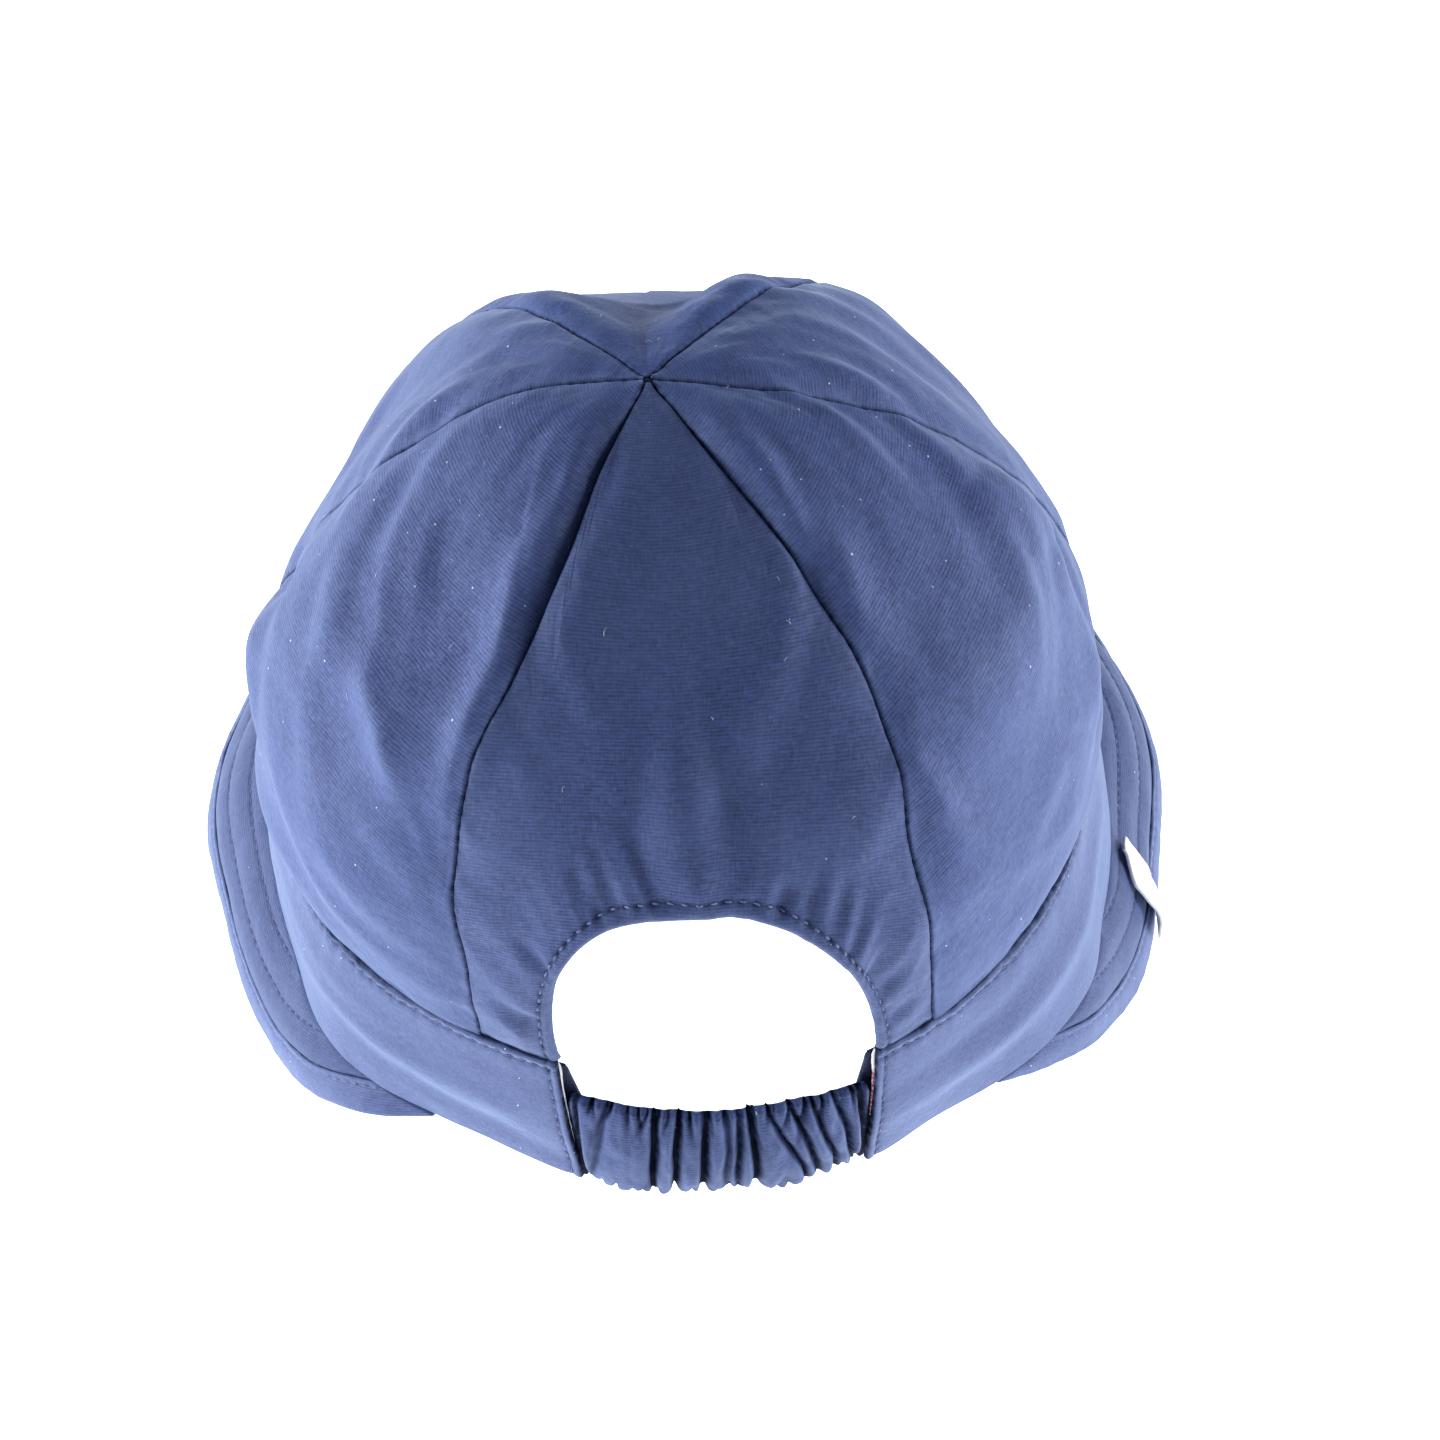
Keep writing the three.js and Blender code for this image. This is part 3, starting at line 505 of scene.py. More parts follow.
    def crown(self, turn, along, lift=0.0):
        """Points of the crown's outer face, raised by lift along its normal."""
        height, share = self.height_along(along), self.radius_along(along)
        foot = self.foot(turn % FULL_TURN) * (1 - height)
        step = 0.004
        rise = (self.height_along(along + step) - self.height_along(along - step)) * self.crown_height
        run = (self.radius_along(along + step) - self.radius_along(along - step)) * self.foot_radius
        steep = np.hypot(rise, run)
        radius = self.foot_radius * share
        hold = np.minimum(1, share / 0.15)
        faded = smoothstep(along, 0, self.fold_fade)
        folds = folds_height(FOLDS, turn, along, radius, self.profile_length)
        out = hold * (self.puff(turn, along) + folds * faded - self.sink(turn, along, radius) * faded) + lift
        above = (along * self.profile_length - self.overhang_level) / self.overhang_reach
        overhang = self.overhang(turn % FULL_TURN) * np.exp(-above ** 2)
        out = out + overhang * smoothstep(along, 0, 0.03)
        outward = out * rise / steep
        near_star = (1 - np.clip(share / self.star_reach, 0, 1)) ** 2
        shift_x, shift_y = (lean * height + shift * near_star
                            for lean, shift in zip(self.lean, self.star_shift))
        turn = np.radians(turn)
        return np.stack([
            AXIS_X - (self.seam_radius_x * share + foot + outward) * np.sin(turn) + shift_x,
            AXIS_Y + (self.seam_radius_y * share + foot + outward) * np.cos(turn) + shift_y,
            self.band_top + self.crown_height * height - out * run / steep,
        ], -1)

    def band(self, turn, level, depth=0.0):
        """Points of the band's outer face, level millimetres above its hem."""
        share = level / self.band_height
        out = (self.hem(turn % FULL_TURN) * (1 - share) + self.foot(turn % FULL_TURN) * share
               + self.swell * np.sin(np.pi * share) - depth)
        radius_x = self.band_radius_x + (self.seam_radius_x - self.band_radius_x) * share + out
        radius_y = self.band_radius_y + (self.seam_radius_y - self.band_radius_y) * share + out
        turn = np.radians(turn)
        return np.stack(np.broadcast_arrays(
            AXIS_X - radius_x * np.sin(turn), AXIS_Y + radius_y * np.cos(turn), self.brim_lift + level), -1)

    def band_end(self, level, side):
        """Turn of the band's end from the middle of the back, on the right (side 1) or the left (-1)."""
        top = np.where(np.asarray(side) > 0, self.right_end_top, self.left_end_top)
        hem = np.where(np.asarray(side) > 0, self.right_end_hem, self.left_end_hem)
        return hem + (top - hem) * level / self.band_height

    def brim_cut(self, turn):
        """The brim's cut at each turn: its arc length, and a function of the distance from its edge."""
        reach = self.reach(turn) * self.peak_reach
        root, edge = np.radians(self.root_slope(turn)), np.radians(self.edge_slope(turn))
        drop = self.drop(turn) * (self.brim_lift - self.gap)
        handle = np.hypot(reach, drop) / 3
        zero = np.zeros_like(reach)
        corners = np.array([
            [zero, zero - self.gap],
            [handle * np.cos(root), -self.gap - handle * np.sin(root)],
            [reach - handle * np.cos(edge), -self.gap - drop + handle * np.sin(edge)],
            [reach, -self.gap - drop],
        ])
        s = np.linspace(0, 1, 41)[:, None]
        weights = np.array([(1 - s) ** 3, 3 * s * (1 - s) ** 2, 3 * s * s * (1 - s), s ** 3])
        out, up = (np.einsum("ksn,kt->st", weights, corners[:, axis]) for axis in (0, 1))
        arc = np.vstack([zero, np.cumsum(np.hypot(np.diff(out, axis=0), np.diff(up, axis=0)), axis=0)])
        return out, up, arc

    def brim(self, turns, backs, lift=0.0):
        """Points of the brim's upper face: one column per turn, one row per distance from its edge."""
        out, up, arc = self.brim_cut(turns)
        root = self.band(turns, 0.0)
        lift = np.broadcast_to(lift, backs.shape)
        points = np.empty(backs.shape + (3,))
        for k, turn in enumerate(np.radians(turns)):
            at = arc[-1, k] - backs[:, k]
            spot = np.interp(at, arc[:, k], out[:, k]) + np.minimum(at, 0)
            height = np.interp(at, arc[:, k], up[:, k])
            ahead, behind = np.clip(at + 0.4, 0, arc[-1, k]), np.clip(at - 0.4, 0, arc[-1, k])
            way = np.stack([np.interp(ahead, arc[:, k], out[:, k]) - np.interp(behind, arc[:, k], out[:, k]),
                            np.interp(ahead, arc[:, k], up[:, k]) - np.interp(behind, arc[:, k], up[:, k])])
            way = way / np.maximum(np.hypot(*way), 1e-9)
            spot = spot - way[1] * lift[:, k]
            height = height + way[0] * lift[:, k]
            points[:, k] = root[k] + np.stack(
                [-np.sin(turn) * spot, np.cos(turn) * spot, height], -1)
        return points

    def brim_points(self, turns, backs, lift):
        """Points of the brim's upper face where each row has turns of its own."""
        rows = [self.brim(turns[k], backs[k:k + 1], lift[k:k + 1])[0] for k in range(len(turns))]
        return np.stack(rows)


# Meshes


def grid_normals(points):
    """Outward normals of a grid of points."""
    around = np.gradient(points, axis=1)
    up = np.gradient(points, axis=0)
    normal = np.cross(around, up)
    return normal / np.maximum(np.linalg.norm(normal, axis=-1, keepdims=True), 1e-9)


def shell(name, outer, inner, weave, edge, material):
    """A closed sheet from the grids of its outer and inner faces, in millimetres. weave holds the
    place on the flat cloth, and edge the painted highlight and the painted shade at each point."""
    rows, columns = outer.shape[:2]
    count = rows * columns
    verts = np.concatenate([outer.reshape(-1, 3), inner.reshape(-1, 3)]) * MM
    front = np.arange(count).reshape(rows, columns)
    back = front + count

    def quads(a, b, c, d):
        return np.stack([a, b, c, d], -1).reshape(-1, 4)
    faces = np.concatenate([
        quads(front[:-1, :-1], front[:-1, 1:], front[1:, 1:], front[1:, :-1]),
        quads(back[:-1, 1:], back[:-1, :-1], back[1:, :-1], back[1:, 1:]),
        quads(front[:-1, 0], front[1:, 0], back[1:, 0], back[:-1, 0]),
        quads(front[1:, -1], front[:-1, -1], back[:-1, -1], back[1:, -1]),
        quads(front[0, 1:], front[0, :-1], back[0, :-1], back[0, 1:]),
        quads(front[-1, :-1], front[-1, 1:], back[-1, 1:], back[-1, :-1]),
    ])
    weave = np.concatenate([weave.reshape(-1, 3)] * 2)
    edge = np.concatenate([edge.reshape(-1, 2)] * 2)
    return mesh_piece(name, verts, faces, material, weave, edge)


def mesh_piece(name, verts, faces, material, weave=None, edge=None):
    """A smooth mesh object with its material and, where given, its weave and its attribute of painted
    highlight and painted shade.
    """
    mesh = bpy.data.meshes.new(name)
    mesh.vertices.add(len(verts))
    mesh.vertices.foreach_set("co", np.asarray(verts, np.float32).ravel())
    size = faces.shape[1]
    mesh.loops.add(faces.size)
    mesh.loops.foreach_set("vertex_index", faces.astype(np.int32).ravel())
    mesh.polygons.add(len(faces))
    mesh.polygons.foreach_set("loop_start", np.arange(0, faces.size, size, dtype=np.int32))
    mesh.update(calc_edges=True)
    mesh.validate()
    if weave is not None:
        layer = mesh.attributes.new("weave", "FLOAT_VECTOR", "POINT")
        layer.data.foreach_set("vector", np.asarray(weave, np.float32).ravel())
        # The second attribute holds the painted highlight in its first channel and the painted shade in its
        # second.
        wear = np.concatenate([edge, np.zeros((len(edge), 1))], 1)
        layer = mesh.attributes.new("wear", "FLOAT_VECTOR", "POINT")
        layer.data.foreach_set("vector", np.asarray(wear, np.float32).ravel())
    mesh.polygons.foreach_set("use_smooth", np.ones(len(mesh.polygons), bool))
    mesh.materials.append(material)
    piece = bpy.data.objects.new(name, mesh)
    bpy.context.scene.collection.objects.link(piece)
    return piece


def seat(piece, slot, *nodes):
    """The piece rides the cap and stands for these nodes, whose frame parts are hidden. slot is not used."""
    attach(piece, "root")
    if nodes:
        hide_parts(*nodes)


def stitch_dent(distance, position, pitch, start=0.6, width=0.75, depth=0.3):
    """How far the cloth is drawn in by a row of stitches: deepest at the needle holes."""
    phase = np.cos(2 * np.pi * (position - start) / pitch)
    return depth * (0.62 + 0.38 * phase) * np.exp(-(distance / width) ** 2)


def hole_shade(distance, position, pitch, start=0.6):
    """Painted shade in the needle holes of a row of stitches."""
    phase = 0.5 + 0.5 * np.cos(2 * np.pi * (position - start) / pitch)
    return (0.4 + 0.6 * phase ** 2) * np.exp(-(distance / 0.48) ** 2)


def stitches(path, normals, pitch, share=0.66, width=0.5, height=0.42, start=0.6, seed=1):
    """Vertices and faces of a run of stitches laid along a path on the cloth."""
    steps = np.linalg.norm(np.diff(path, axis=0), axis=1)
    arc = np.r_[0, np.cumsum(steps)]
    marks = np.arange(start + pitch / 2, arc[-1] - pitch / 3, pitch)
    if len(marks) == 0:
        return np.zeros((0, 3)), np.zeros((0, 4), int)
    rng = np.random.default_rng(seed)

    def on_path(values, at):
        return np.stack([np.interp(at, arc, values[:, k]) for k in range(3)], -1)
    half = pitch * share / 2
    rings = np.linspace(-1, 1, 7)
    bulge = np.sqrt(np.clip(1 - rings ** 2, 0.02, 1)) * 0.85 + 0.15 * (1 - np.abs(rings))
    sides = np.linspace(0, 2 * np.pi, 9)[:-1]
    jitter = rng.uniform(-0.06, 0.06, (len(marks), 2))
    verts = []
    for ring, size in zip(rings, bulge):
        at = np.clip(marks + ring * half, 0, arc[-1])
        centre, up = on_path(path, at), on_path(normals, at)
        ahead = on_path(path, np.clip(at + 0.3, 0, arc[-1])) - on_path(path, np.clip(at - 0.3, 0, arc[-1]))
        ahead /= np.maximum(np.linalg.norm(ahead, axis=1, keepdims=True), 1e-9)
        up /= np.maximum(np.linalg.norm(up, axis=1, keepdims=True), 1e-9)
        side = np.cross(ahead, up)
        sag = -0.3 * ring ** 4
        centre = centre + up * (sag + 0.02 + jitter[:, :1] * 0.5) + side * (jitter[:, 1:] + 0.08 * ring)
        verts.append(centre[:, None] + side[:, None] * (np.cos(sides) * width / 2 * size)[None, :, None]
                     + up[:, None] * (np.sin(sides) * height / 2 * size)[None, :, None])
    verts = np.stack(verts, 1)
    count, ring_count, side_count = verts.shape[:3]
    index = np.arange(count * ring_count * side_count).reshape(count, ring_count, side_count)
    following = np.roll(index, -1, axis=2)
    faces = np.stack([index[:, :-1], index[:, 1:], following[:, 1:], following[:, :-1]], -1).reshape(-1, 4)
    caps = []
    for ring, order in ((0, (0, 1, 2, 3)), (-1, (3, 2, 1, 0))):
        loop = index[:, ring]
        for quad in ((0, 1, 2, 3), (0, 3, 4, 7), (7, 4, 5, 6)):
            picked = [quad[k] for k in order]
            caps.append(loop[:, picked])
    return verts.reshape(-1, 3), np.concatenate([faces] + caps)


def joined(parts):
    """Vertices and faces of several runs as one mesh."""
    verts, faces, base = [], [], 0
    for part_verts, part_faces in parts:
        verts.append(part_verts)
        faces.append(part_faces + base)
        base += len(part_verts)
    return np.concatenate(verts) * MM, np.concatenate(faces)


# Materials


class Nodes:
    """Short helper for a material's node tree."""
    def __init__(self, name):
        self.material = bpy.data.materials.new(name)
        self.material.use_nodes = True
        self.tree = self.material.node_tree
        self.tree.nodes.clear()
        self.out = self.tree.nodes.new("ShaderNodeOutputMaterial")
        self.shader = self.tree.nodes.new("ShaderNodeBsdfPrincipled")
        self.link(self.shader.outputs[0], self.out.inputs["Surface"])

    def link(self, source, target):
        self.tree.links.new(source, target)

    def add(self, kind, **settings):
        node = self.tree.nodes.new(kind)
        for name, value in settings.items():
            setattr(node, name, value)
        return node

    def feed(self, socket, value):
        if isinstance(value, bpy.types.NodeSocket):
            self.link(value, socket)
        else:
            socket.default_value = value

    def attribute(self, name):
        node = self.add("ShaderNodeAttribute", attribute_type="GEOMETRY", attribute_name=name)
        return node.outputs["Vector"]

    def maths(self, operation, first, second=0.0, third=0.0, clamp=False):
        node = self.add("ShaderNodeMath", operation=operation, use_clamp=clamp)
        for socket, value in zip(node.inputs, (first, second, third)):
            self.feed(socket, value)
        return node.outputs[0]

    def moved(self, vector, scale=(1, 1, 1), turn=0.0):
        node = self.add("ShaderNodeMapping")
        self.feed(node.inputs["Vector"], vector)
        node.inputs["Rotation"].default_value = (0, 0, turn)
        node.inputs["Scale"].default_value = scale
        return node.outputs[0]

    def noise(self, vector, scale=1.0, detail=2.0, rough=0.5):
        node = self.add("ShaderNodeTexNoise")
        self.feed(node.inputs["Vector"], vector)
        node.inputs["Scale"].default_value = scale
        node.inputs["Detail"].default_value = detail
        node.inputs["Roughness"].default_value = rough
        return node.outputs["Fac"]

    def spread(self, value, low, high, to_low=0.0, to_high=1.0):
        node = self.add("ShaderNodeMapRange")
        for socket, number in zip(node.inputs, (value, low, high, to_low, to_high)):
            self.feed(socket, number)
        return node.outputs[0]

    def mix(self, share, first, second, blend="MIX"):
        node = self.add("ShaderNodeMix", data_type="RGBA", blend_type=blend)
        self.feed(node.inputs["Factor"], share)
        for socket, value in ((node.inputs["A"], first), (node.inputs["B"], second)):
            if isinstance(value, bpy.types.NodeSocket):
                self.link(value, socket)
            else:
                socket.default_value = (*value[:3], 1)
        return node.outputs["Result"]

    def bump(self, height, strength, distance, normal=None):
        node = self.add("ShaderNodeBump")
        node.inputs["Strength"].default_value = strength
        node.inputs["Distance"].default_value = distance
        self.feed(node.inputs["Height"], height)
        if normal is not None:
            self.link(normal, node.inputs["Normal"])
        return node.outputs[0]


def woven_cloth(name, colours, twill=0.0, tone=1.0, lint=1.0, gloss=1.0):
    """Fine woven cloth: yarn streaks both ways, a faint twill, mottling, painted highlights, painted shade
    and lint.
    """
    n = Nodes(name)
    weave = n.attribute("weave")
    wear = n.add("ShaderNodeSeparateXYZ")
    n.link(n.attribute("wear"), wear.inputs[0])
    turned = n.moved(weave, turn=np.radians(twill))
    weft = n.noise(n.moved(turned, (0.45, 2.6, 1)), detail=2.0, rough=0.6)
    warp = n.noise(n.moved(turned, (2.8, 0.6, 1)), detail=2.0, rough=0.6)
    wave = n.add("ShaderNodeTexWave", wave_type="BANDS", bands_direction="Y", wave_profile="SIN")
    n.feed(wave.inputs["Vector"], n.moved(turned, (1, 1, 1)))
    wave.inputs["Scale"].default_value = 0.5
    wave.inputs["Distortion"].default_value = 0.6
    wave.inputs["Detail"].default_value = 1.0
    wave.inputs["Detail Scale"].default_value = 0.5
    yarn = n.maths("MULTIPLY_ADD", weft, 0.46, n.maths("MULTIPLY", warp, 0.36))
    yarn = n.maths("MULTIPLY_ADD", wave.outputs["Fac"], 0.15, yarn)
    mottle = n.noise(n.moved(weave, (0.045, 0.045, 0.3)), detail=3, rough=0.55)
    fluff = n.noise(n.moved(weave, (1.1, 1.1, 1)), detail=3, rough=0.7)
    # tone scales the cloth's colour. The crown panels, band, border and brim use it as painted light: lighter
    # or darker copies of the one cloth for how each piece is lit.
    base = [channel * tone for channel in colours.cloth]
    light = [channel * tone for channel in colours.cloth_light]
    dark = [channel * 0.45 for channel in base]
    colour = n.mix(n.spread(yarn, 0.28, 0.72), dark, [min(channel * 1.55, 1) for channel in base])
    colour = n.mix(n.spread(mottle, 0.35, 0.7, 0, 0.2), colour, light)
    colour = n.mix(n.spread(fluff, 0.52, 0.72, 0, 0.3), colour, light)
    # Painted highlight: the cloth is lightened towards cloth_light along the lit rims of seams and edges and
    # along crease crests.
    highlit = n.maths("MULTIPLY", wear.outputs["X"], n.spread(fluff, 0.3, 0.6, 0.25, 0.75))
    colour = n.mix(highlit, colour, light)
    # Painted shade: the cloth is darkened in seams, needle holes, valleys and under the crown's overhang; the
    # sewn noise only varies how dark this painted shade is.
    sewn = n.noise(n.moved(weave, (0.5, 0.5, 1)), detail=2)
    shade = n.maths("MULTIPLY", wear.outputs["Y"], n.spread(sewn, 0.35, 0.6, 0.6, 0.95), clamp=True)
    colour = n.mix(shade, colour, [channel * 0.12 for channel in base])
    cells = n.add("ShaderNodeTexVoronoi", feature="F1")
    n.feed(cells.inputs["Vector"], weave)
    cells.inputs["Scale"].default_value = 0.36
    cells.inputs["Randomness"].default_value = 1.0
    hue = n.add("ShaderNodeSeparateColor")
    n.link(cells.outputs["Color"], hue.inputs[0])
    size = n.maths("MULTIPLY", n.maths("POWER", hue.outputs[0], 4.0), 0.085)
    speck = n.maths("LESS_THAN", cells.outputs["Distance"], size)
    colour = n.mix(n.maths("MULTIPLY", speck, 0.75 * lint), colour, (0.62, 0.67, 0.78))
    n.link(colour, n.shader.inputs["Base Color"])
    n.link(n.spread(yarn, 0.3, 0.7, 0.82, 0.64), n.shader.inputs["Roughness"])
    rough = n.bump(yarn, 0.55, 0.00022)
    n.link(n.bump(n.noise(n.moved(weave, (0.16, 0.16, 1)), detail=3), 0.35, 0.0009, rough),
           n.shader.inputs["Normal"])
    # Specular and sheen are taken away where the shade is painted.
    n.link(n.spread(shade, 0.0, 0.8, 0.46 * gloss, 0.05), n.shader.inputs["Specular IOR Level"])
    n.link(n.spread(shade, 0.0, 0.8, 0.3 * gloss, 0.0), n.shader.inputs["Sheen Weight"])
    n.shader.inputs["Sheen Roughness"].default_value = 0.4
    n.shader.inputs["Sheen Tint"].default_value = (0.5, 0.68, 1.0, 1)
    return n.material


def thread(name, colour):
    """Twisted sewing thread."""
    n = Nodes(name)
    spot = n.add("ShaderNodeTexCoord").outputs["Object"]
    ply = n.noise(n.moved(spot, (2200, 2200, 2200)), detail=1)
    n.link(n.mix(n.spread(ply, 0.35, 0.65), [c * 0.75 for c in colour], [min(c * 1.35, 1) for c in colour]),
           n.shader.inputs["Base Color"])
    n.link(n.spread(ply, 0.3, 0.7, 0.75, 0.5), n.shader.inputs["Roughness"])
    n.link(n.bump(ply, 0.4, 0.0001), n.shader.inputs["Normal"])
    n.shader.inputs["Sheen Weight"].default_value = 0.2
    n.shader.inputs["Sheen Roughness"].default_value = 0.4
    return n.material


def tape_weave(name, colour, yarn_colour=None, share=0.0):
    """Close woven tape with fine ribs, with a coloured yarn through it where one is given."""
    n = Nodes(name)
    weave = n.attribute("weave")
    ribs = n.add("ShaderNodeTexWave", wave_type="BANDS", bands_direction="X", wave_profile="SIN")
    n.feed(ribs.inputs["Vector"], weave)
    ribs.inputs["Scale"].default_value = 0.62
    ribs.inputs["Distortion"].default_value = 0.5
    picks = n.noise(n.moved(weave, (2.4, 0.5, 1)), detail=3)
    cloud = n.noise(n.moved(weave, (0.2, 0.2, 1)), detail=3)
    height = n.maths("MULTIPLY_ADD", ribs.outputs["Fac"], 0.5, n.maths("MULTIPLY", picks, 0.5))
    tone = n.mix(n.spread(height, 0.25, 0.75), [c * 0.86 for c in colour], colour)
    tone = n.mix(n.spread(cloud, 0.4, 0.7, 0, 0.18), tone, [c * 0.8 for c in colour])
    if yarn_colour is not None:
        pattern = n.noise(n.moved(weave, (2.2, 2.6, 1)), detail=1)
        height_up = n.add("ShaderNodeSeparateXYZ")
        n.link(weave, height_up.inputs[0])
        dyed = n.spread(height_up.outputs["X"], 27, 28.5, 1.0, 0.0)
        dyed = n.maths("MULTIPLY", dyed, n.spread(pattern, 0.5 - share / 4, 0.62 - share / 4))
        tone = n.mix(dyed, tone, yarn_colour)
    n.link(tone, n.shader.inputs["Base Color"])
    n.link(n.spread(height, 0.2, 0.8, 0.8, 0.6), n.shader.inputs["Roughness"])
    n.link(n.bump(height, 0.5, 0.00016), n.shader.inputs["Normal"])
    n.shader.inputs["Sheen Weight"].default_value = 0.1
    n.shader.inputs["Specular IOR Level"].default_value = 0.35
    return n.material


def sewing_thread(colours):
    """The one thread that all rows of stitches are sewn with."""
    return bpy.data.materials.get("sewing_thread") or thread("sewing_thread", list(colours.thread))


# Pieces


# Close rows of points beside a panel's seams, and beside the turned edges of the other pieces.
EDGE_MARKS = np.array([0.0, 0.08, 0.2, 0.36, 0.58, 0.86, 1.25, 1.8, 2.6])
ROLL_MARKS = [0, 0.1, 0.25, 0.45, 0.7, 1.0]
SEAM_ROLL = 0.65  # radius of the edge that turns into a seam
PANEL_WALL = 1.2
SEAM_ALLOWANCE = 1.8  # the turned cloth inside a seam, and inside the crown's foot
FOOT_ALLOWANCE = 1.6
HEM_MARK = 3.3  # the row of the opening's marks that lies on its stitches
GORE_BOW = 230.0  # the weave of a flat cut panel bows by this radius once it is sewn into the crown
UPPER_START, UPPER_FULL = 0.54, 0.68  # the seams drop in deeper above this stretch of the crown
RIPPLE_SEED = 5
FIRST_PANEL_SEED = 11


def panel_positions(width, columns):
    """Distances from a panel's first seam, for a row as wide as width."""
    scale = min(1.0, width / (4 * EDGE_MARKS[-1]))
    marks = EDGE_MARKS * scale
    middle = marks[-1] + (width - 2 * marks[-1]) * np.linspace(0, 1, columns)[1:-1]
    return np.r_[marks, middle, width - marks[::-1]]


def seam_lift(form, panel, along, to_start, to_end, seed):
    """Rise and small puckers of a panel beside its seams, and how far its turned edges drop."""
    upper = smoothstep(along, UPPER_START, UPPER_FULL) * (1 - smoothstep(along, 0.86, 0.98))
    arc = along * form.profile_length
    pinch = 1 + 0.22 * np.cos(2 * np.pi * arc / form.stitch_pitch) + 0.35 * noise_of(arc / 1.6, 0, seed)
    lift, roll = 0, turned_edge(arc, SEAM_ROLL)
    sides = ((to_start, panel.first_drop, 0), (to_end, panel.last_drop, 7))
    for distance, (drop, reach, rise), offset in sides:
        drop, reach = SEAM_ROLL + (drop - SEAM_ROLL) * upper, SEAM_ROLL + (reach - SEAM_ROLL) * upper
        reach = reach * (1 + 0.15 * noise_of(arc / 11, 0, seed + offset))
        pinched = 0.2 * pinch * np.exp(-distance / 0.5)
        roll = np.maximum(roll, turned_edge(distance / reach, 1.0) * drop + pinched)
        lift = lift + rise * upper * np.exp(-((distance - 5) / 4.5) ** 2) * smoothstep(distance, 0, 4)
        pucker = noise_of(arc / 3.4, distance / 9, seed + offset)
        pucker = pucker + 0.5 * noise_of(arc / 1.7, distance / 5, seed + 3)
        lift = lift + 0.3 * pucker * np.exp(-distance / 4.5) * smoothstep(distance, 0.1, 1.2)
    return lift, roll


def seam_shade(form, panel, along, to_start, to_end):
    """Painted shade beside the seams: in the stitch line, and down a deep drop."""
    upper = smoothstep(along, UPPER_START, UPPER_FULL) * (1 - smoothstep(along, 0.88, 0.98))
    arc = along * form.profile_length
    pulse = 0.7 + 0.3 * np.cos(2 * np.pi * arc / form.stitch_pitch)
    reach = 0.44 * (1 + 0.5 * noise_of(arc / 7, to_start * 0, 12))
    shade = np.exp(-(np.minimum(to_start, to_end) / reach) ** 2) * pulse
    for distance, (drop, reach, _) in ((to_start, panel.first_drop), (to_end, panel.last_drop)):
        deep = np.clip((drop - 1.2) / 1.8, 0, 1) * upper
        shade = np.maximum(shade, 0.7 * deep * np.exp(-(distance / (0.45 * reach)) ** 1.4))
    return shade


def foot_lift(along, form, turn):
    """Small puckers at the crown's foot, where it is sewn to the band."""
    rise = along * form.profile_length
    pucker = noise_of(turn / 1.9, rise / 7, 41) + 0.6 * noise_of(turn / 4.2, rise / 16, 42)
    return 0.36 * pucker * np.exp(-rise / 4.5) * smoothstep(rise, 0.2, 1.5)


def foot_shade(rise):
    """Painted shade on the cloth just above the crown's foot."""
    return np.maximum(np.exp(-(rise / 0.55) ** 2), 0.16 * np.exp(-(rise / 2.2) ** 2))


def cloth_ripple(turn, along, form):
    """Slow unevenness of the cloth, with slanting drapes on both sides."""
    seed = RIPPLE_SEED
    radius = form.foot_radius
    u, v = np.radians(turn_from(0, turn)) * radius, along * form.profile_length
    slow = noise_of(u / 26, v / 30, seed) * 0.55
    side = np.sin(np.radians(turn))
    lean = np.sign(side) * 0.75
    drape = noise_of((u + lean * v) / 30, (v - lean * u) / 9, seed + 4) * np.abs(side) ** 0.5
    drape = drape * smoothstep(along, 0.1, 0.3) * (1 - smoothstep(along, 0.75, 0.95))
    fine = noise_of(u / 11, v / 13, seed + 1) * 0.2 + noise_of(u / 4.5, v / 5, seed + 2) * 0.06
    return slow + 0.85 * drape + fine


def painted_seam_light(distance, reach=1.1):
    """Painted highlight just outside a seam, and painted shade in the seam itself."""
    highlit = np.exp(-((distance - 0.9) / reach) ** 2) * 0.35
    shade = np.exp(-(distance / 0.26) ** 2)
    return np.stack(np.broadcast_arrays(highlit, shade), -1)


def panel_cloth(panel, colours):
    return woven_cloth(panel.node + "_weave", colours, twill=panel.tilt, tone=panel.tone, gloss=panel.gloss)


def panel_weave(form, panel, turn, along, radius, seed):
    """Place of each point on the flat cut panel."""
    start, end = form.edges(panel.first, panel.last, along)
    across = np.radians(turn - (start + end) / 2) * radius
    flat = along * form.profile_length + across ** 2 / GORE_BOW
    return np.stack([across, flat, np.full_like(across, seed * 7.3)], -1)


def panel_inside(form, turn, along, outer, lift, to_seam, from_edge):
    """The inner face of a panel, thicker where its seam allowances lie and drawn down at its foot."""
    wall = PANEL_WALL + SEAM_ALLOWANCE * np.exp(-to_seam / 1.5) * smoothstep(from_edge, 0, 6)
    inner = outer - grid_normals(form.crown(turn, along, lift * 0.3)) * wall[..., None]
    inner[..., 2] -= FOOT_ALLOWANCE * np.exp(-along * form.profile_length / 1.2)
    return inner


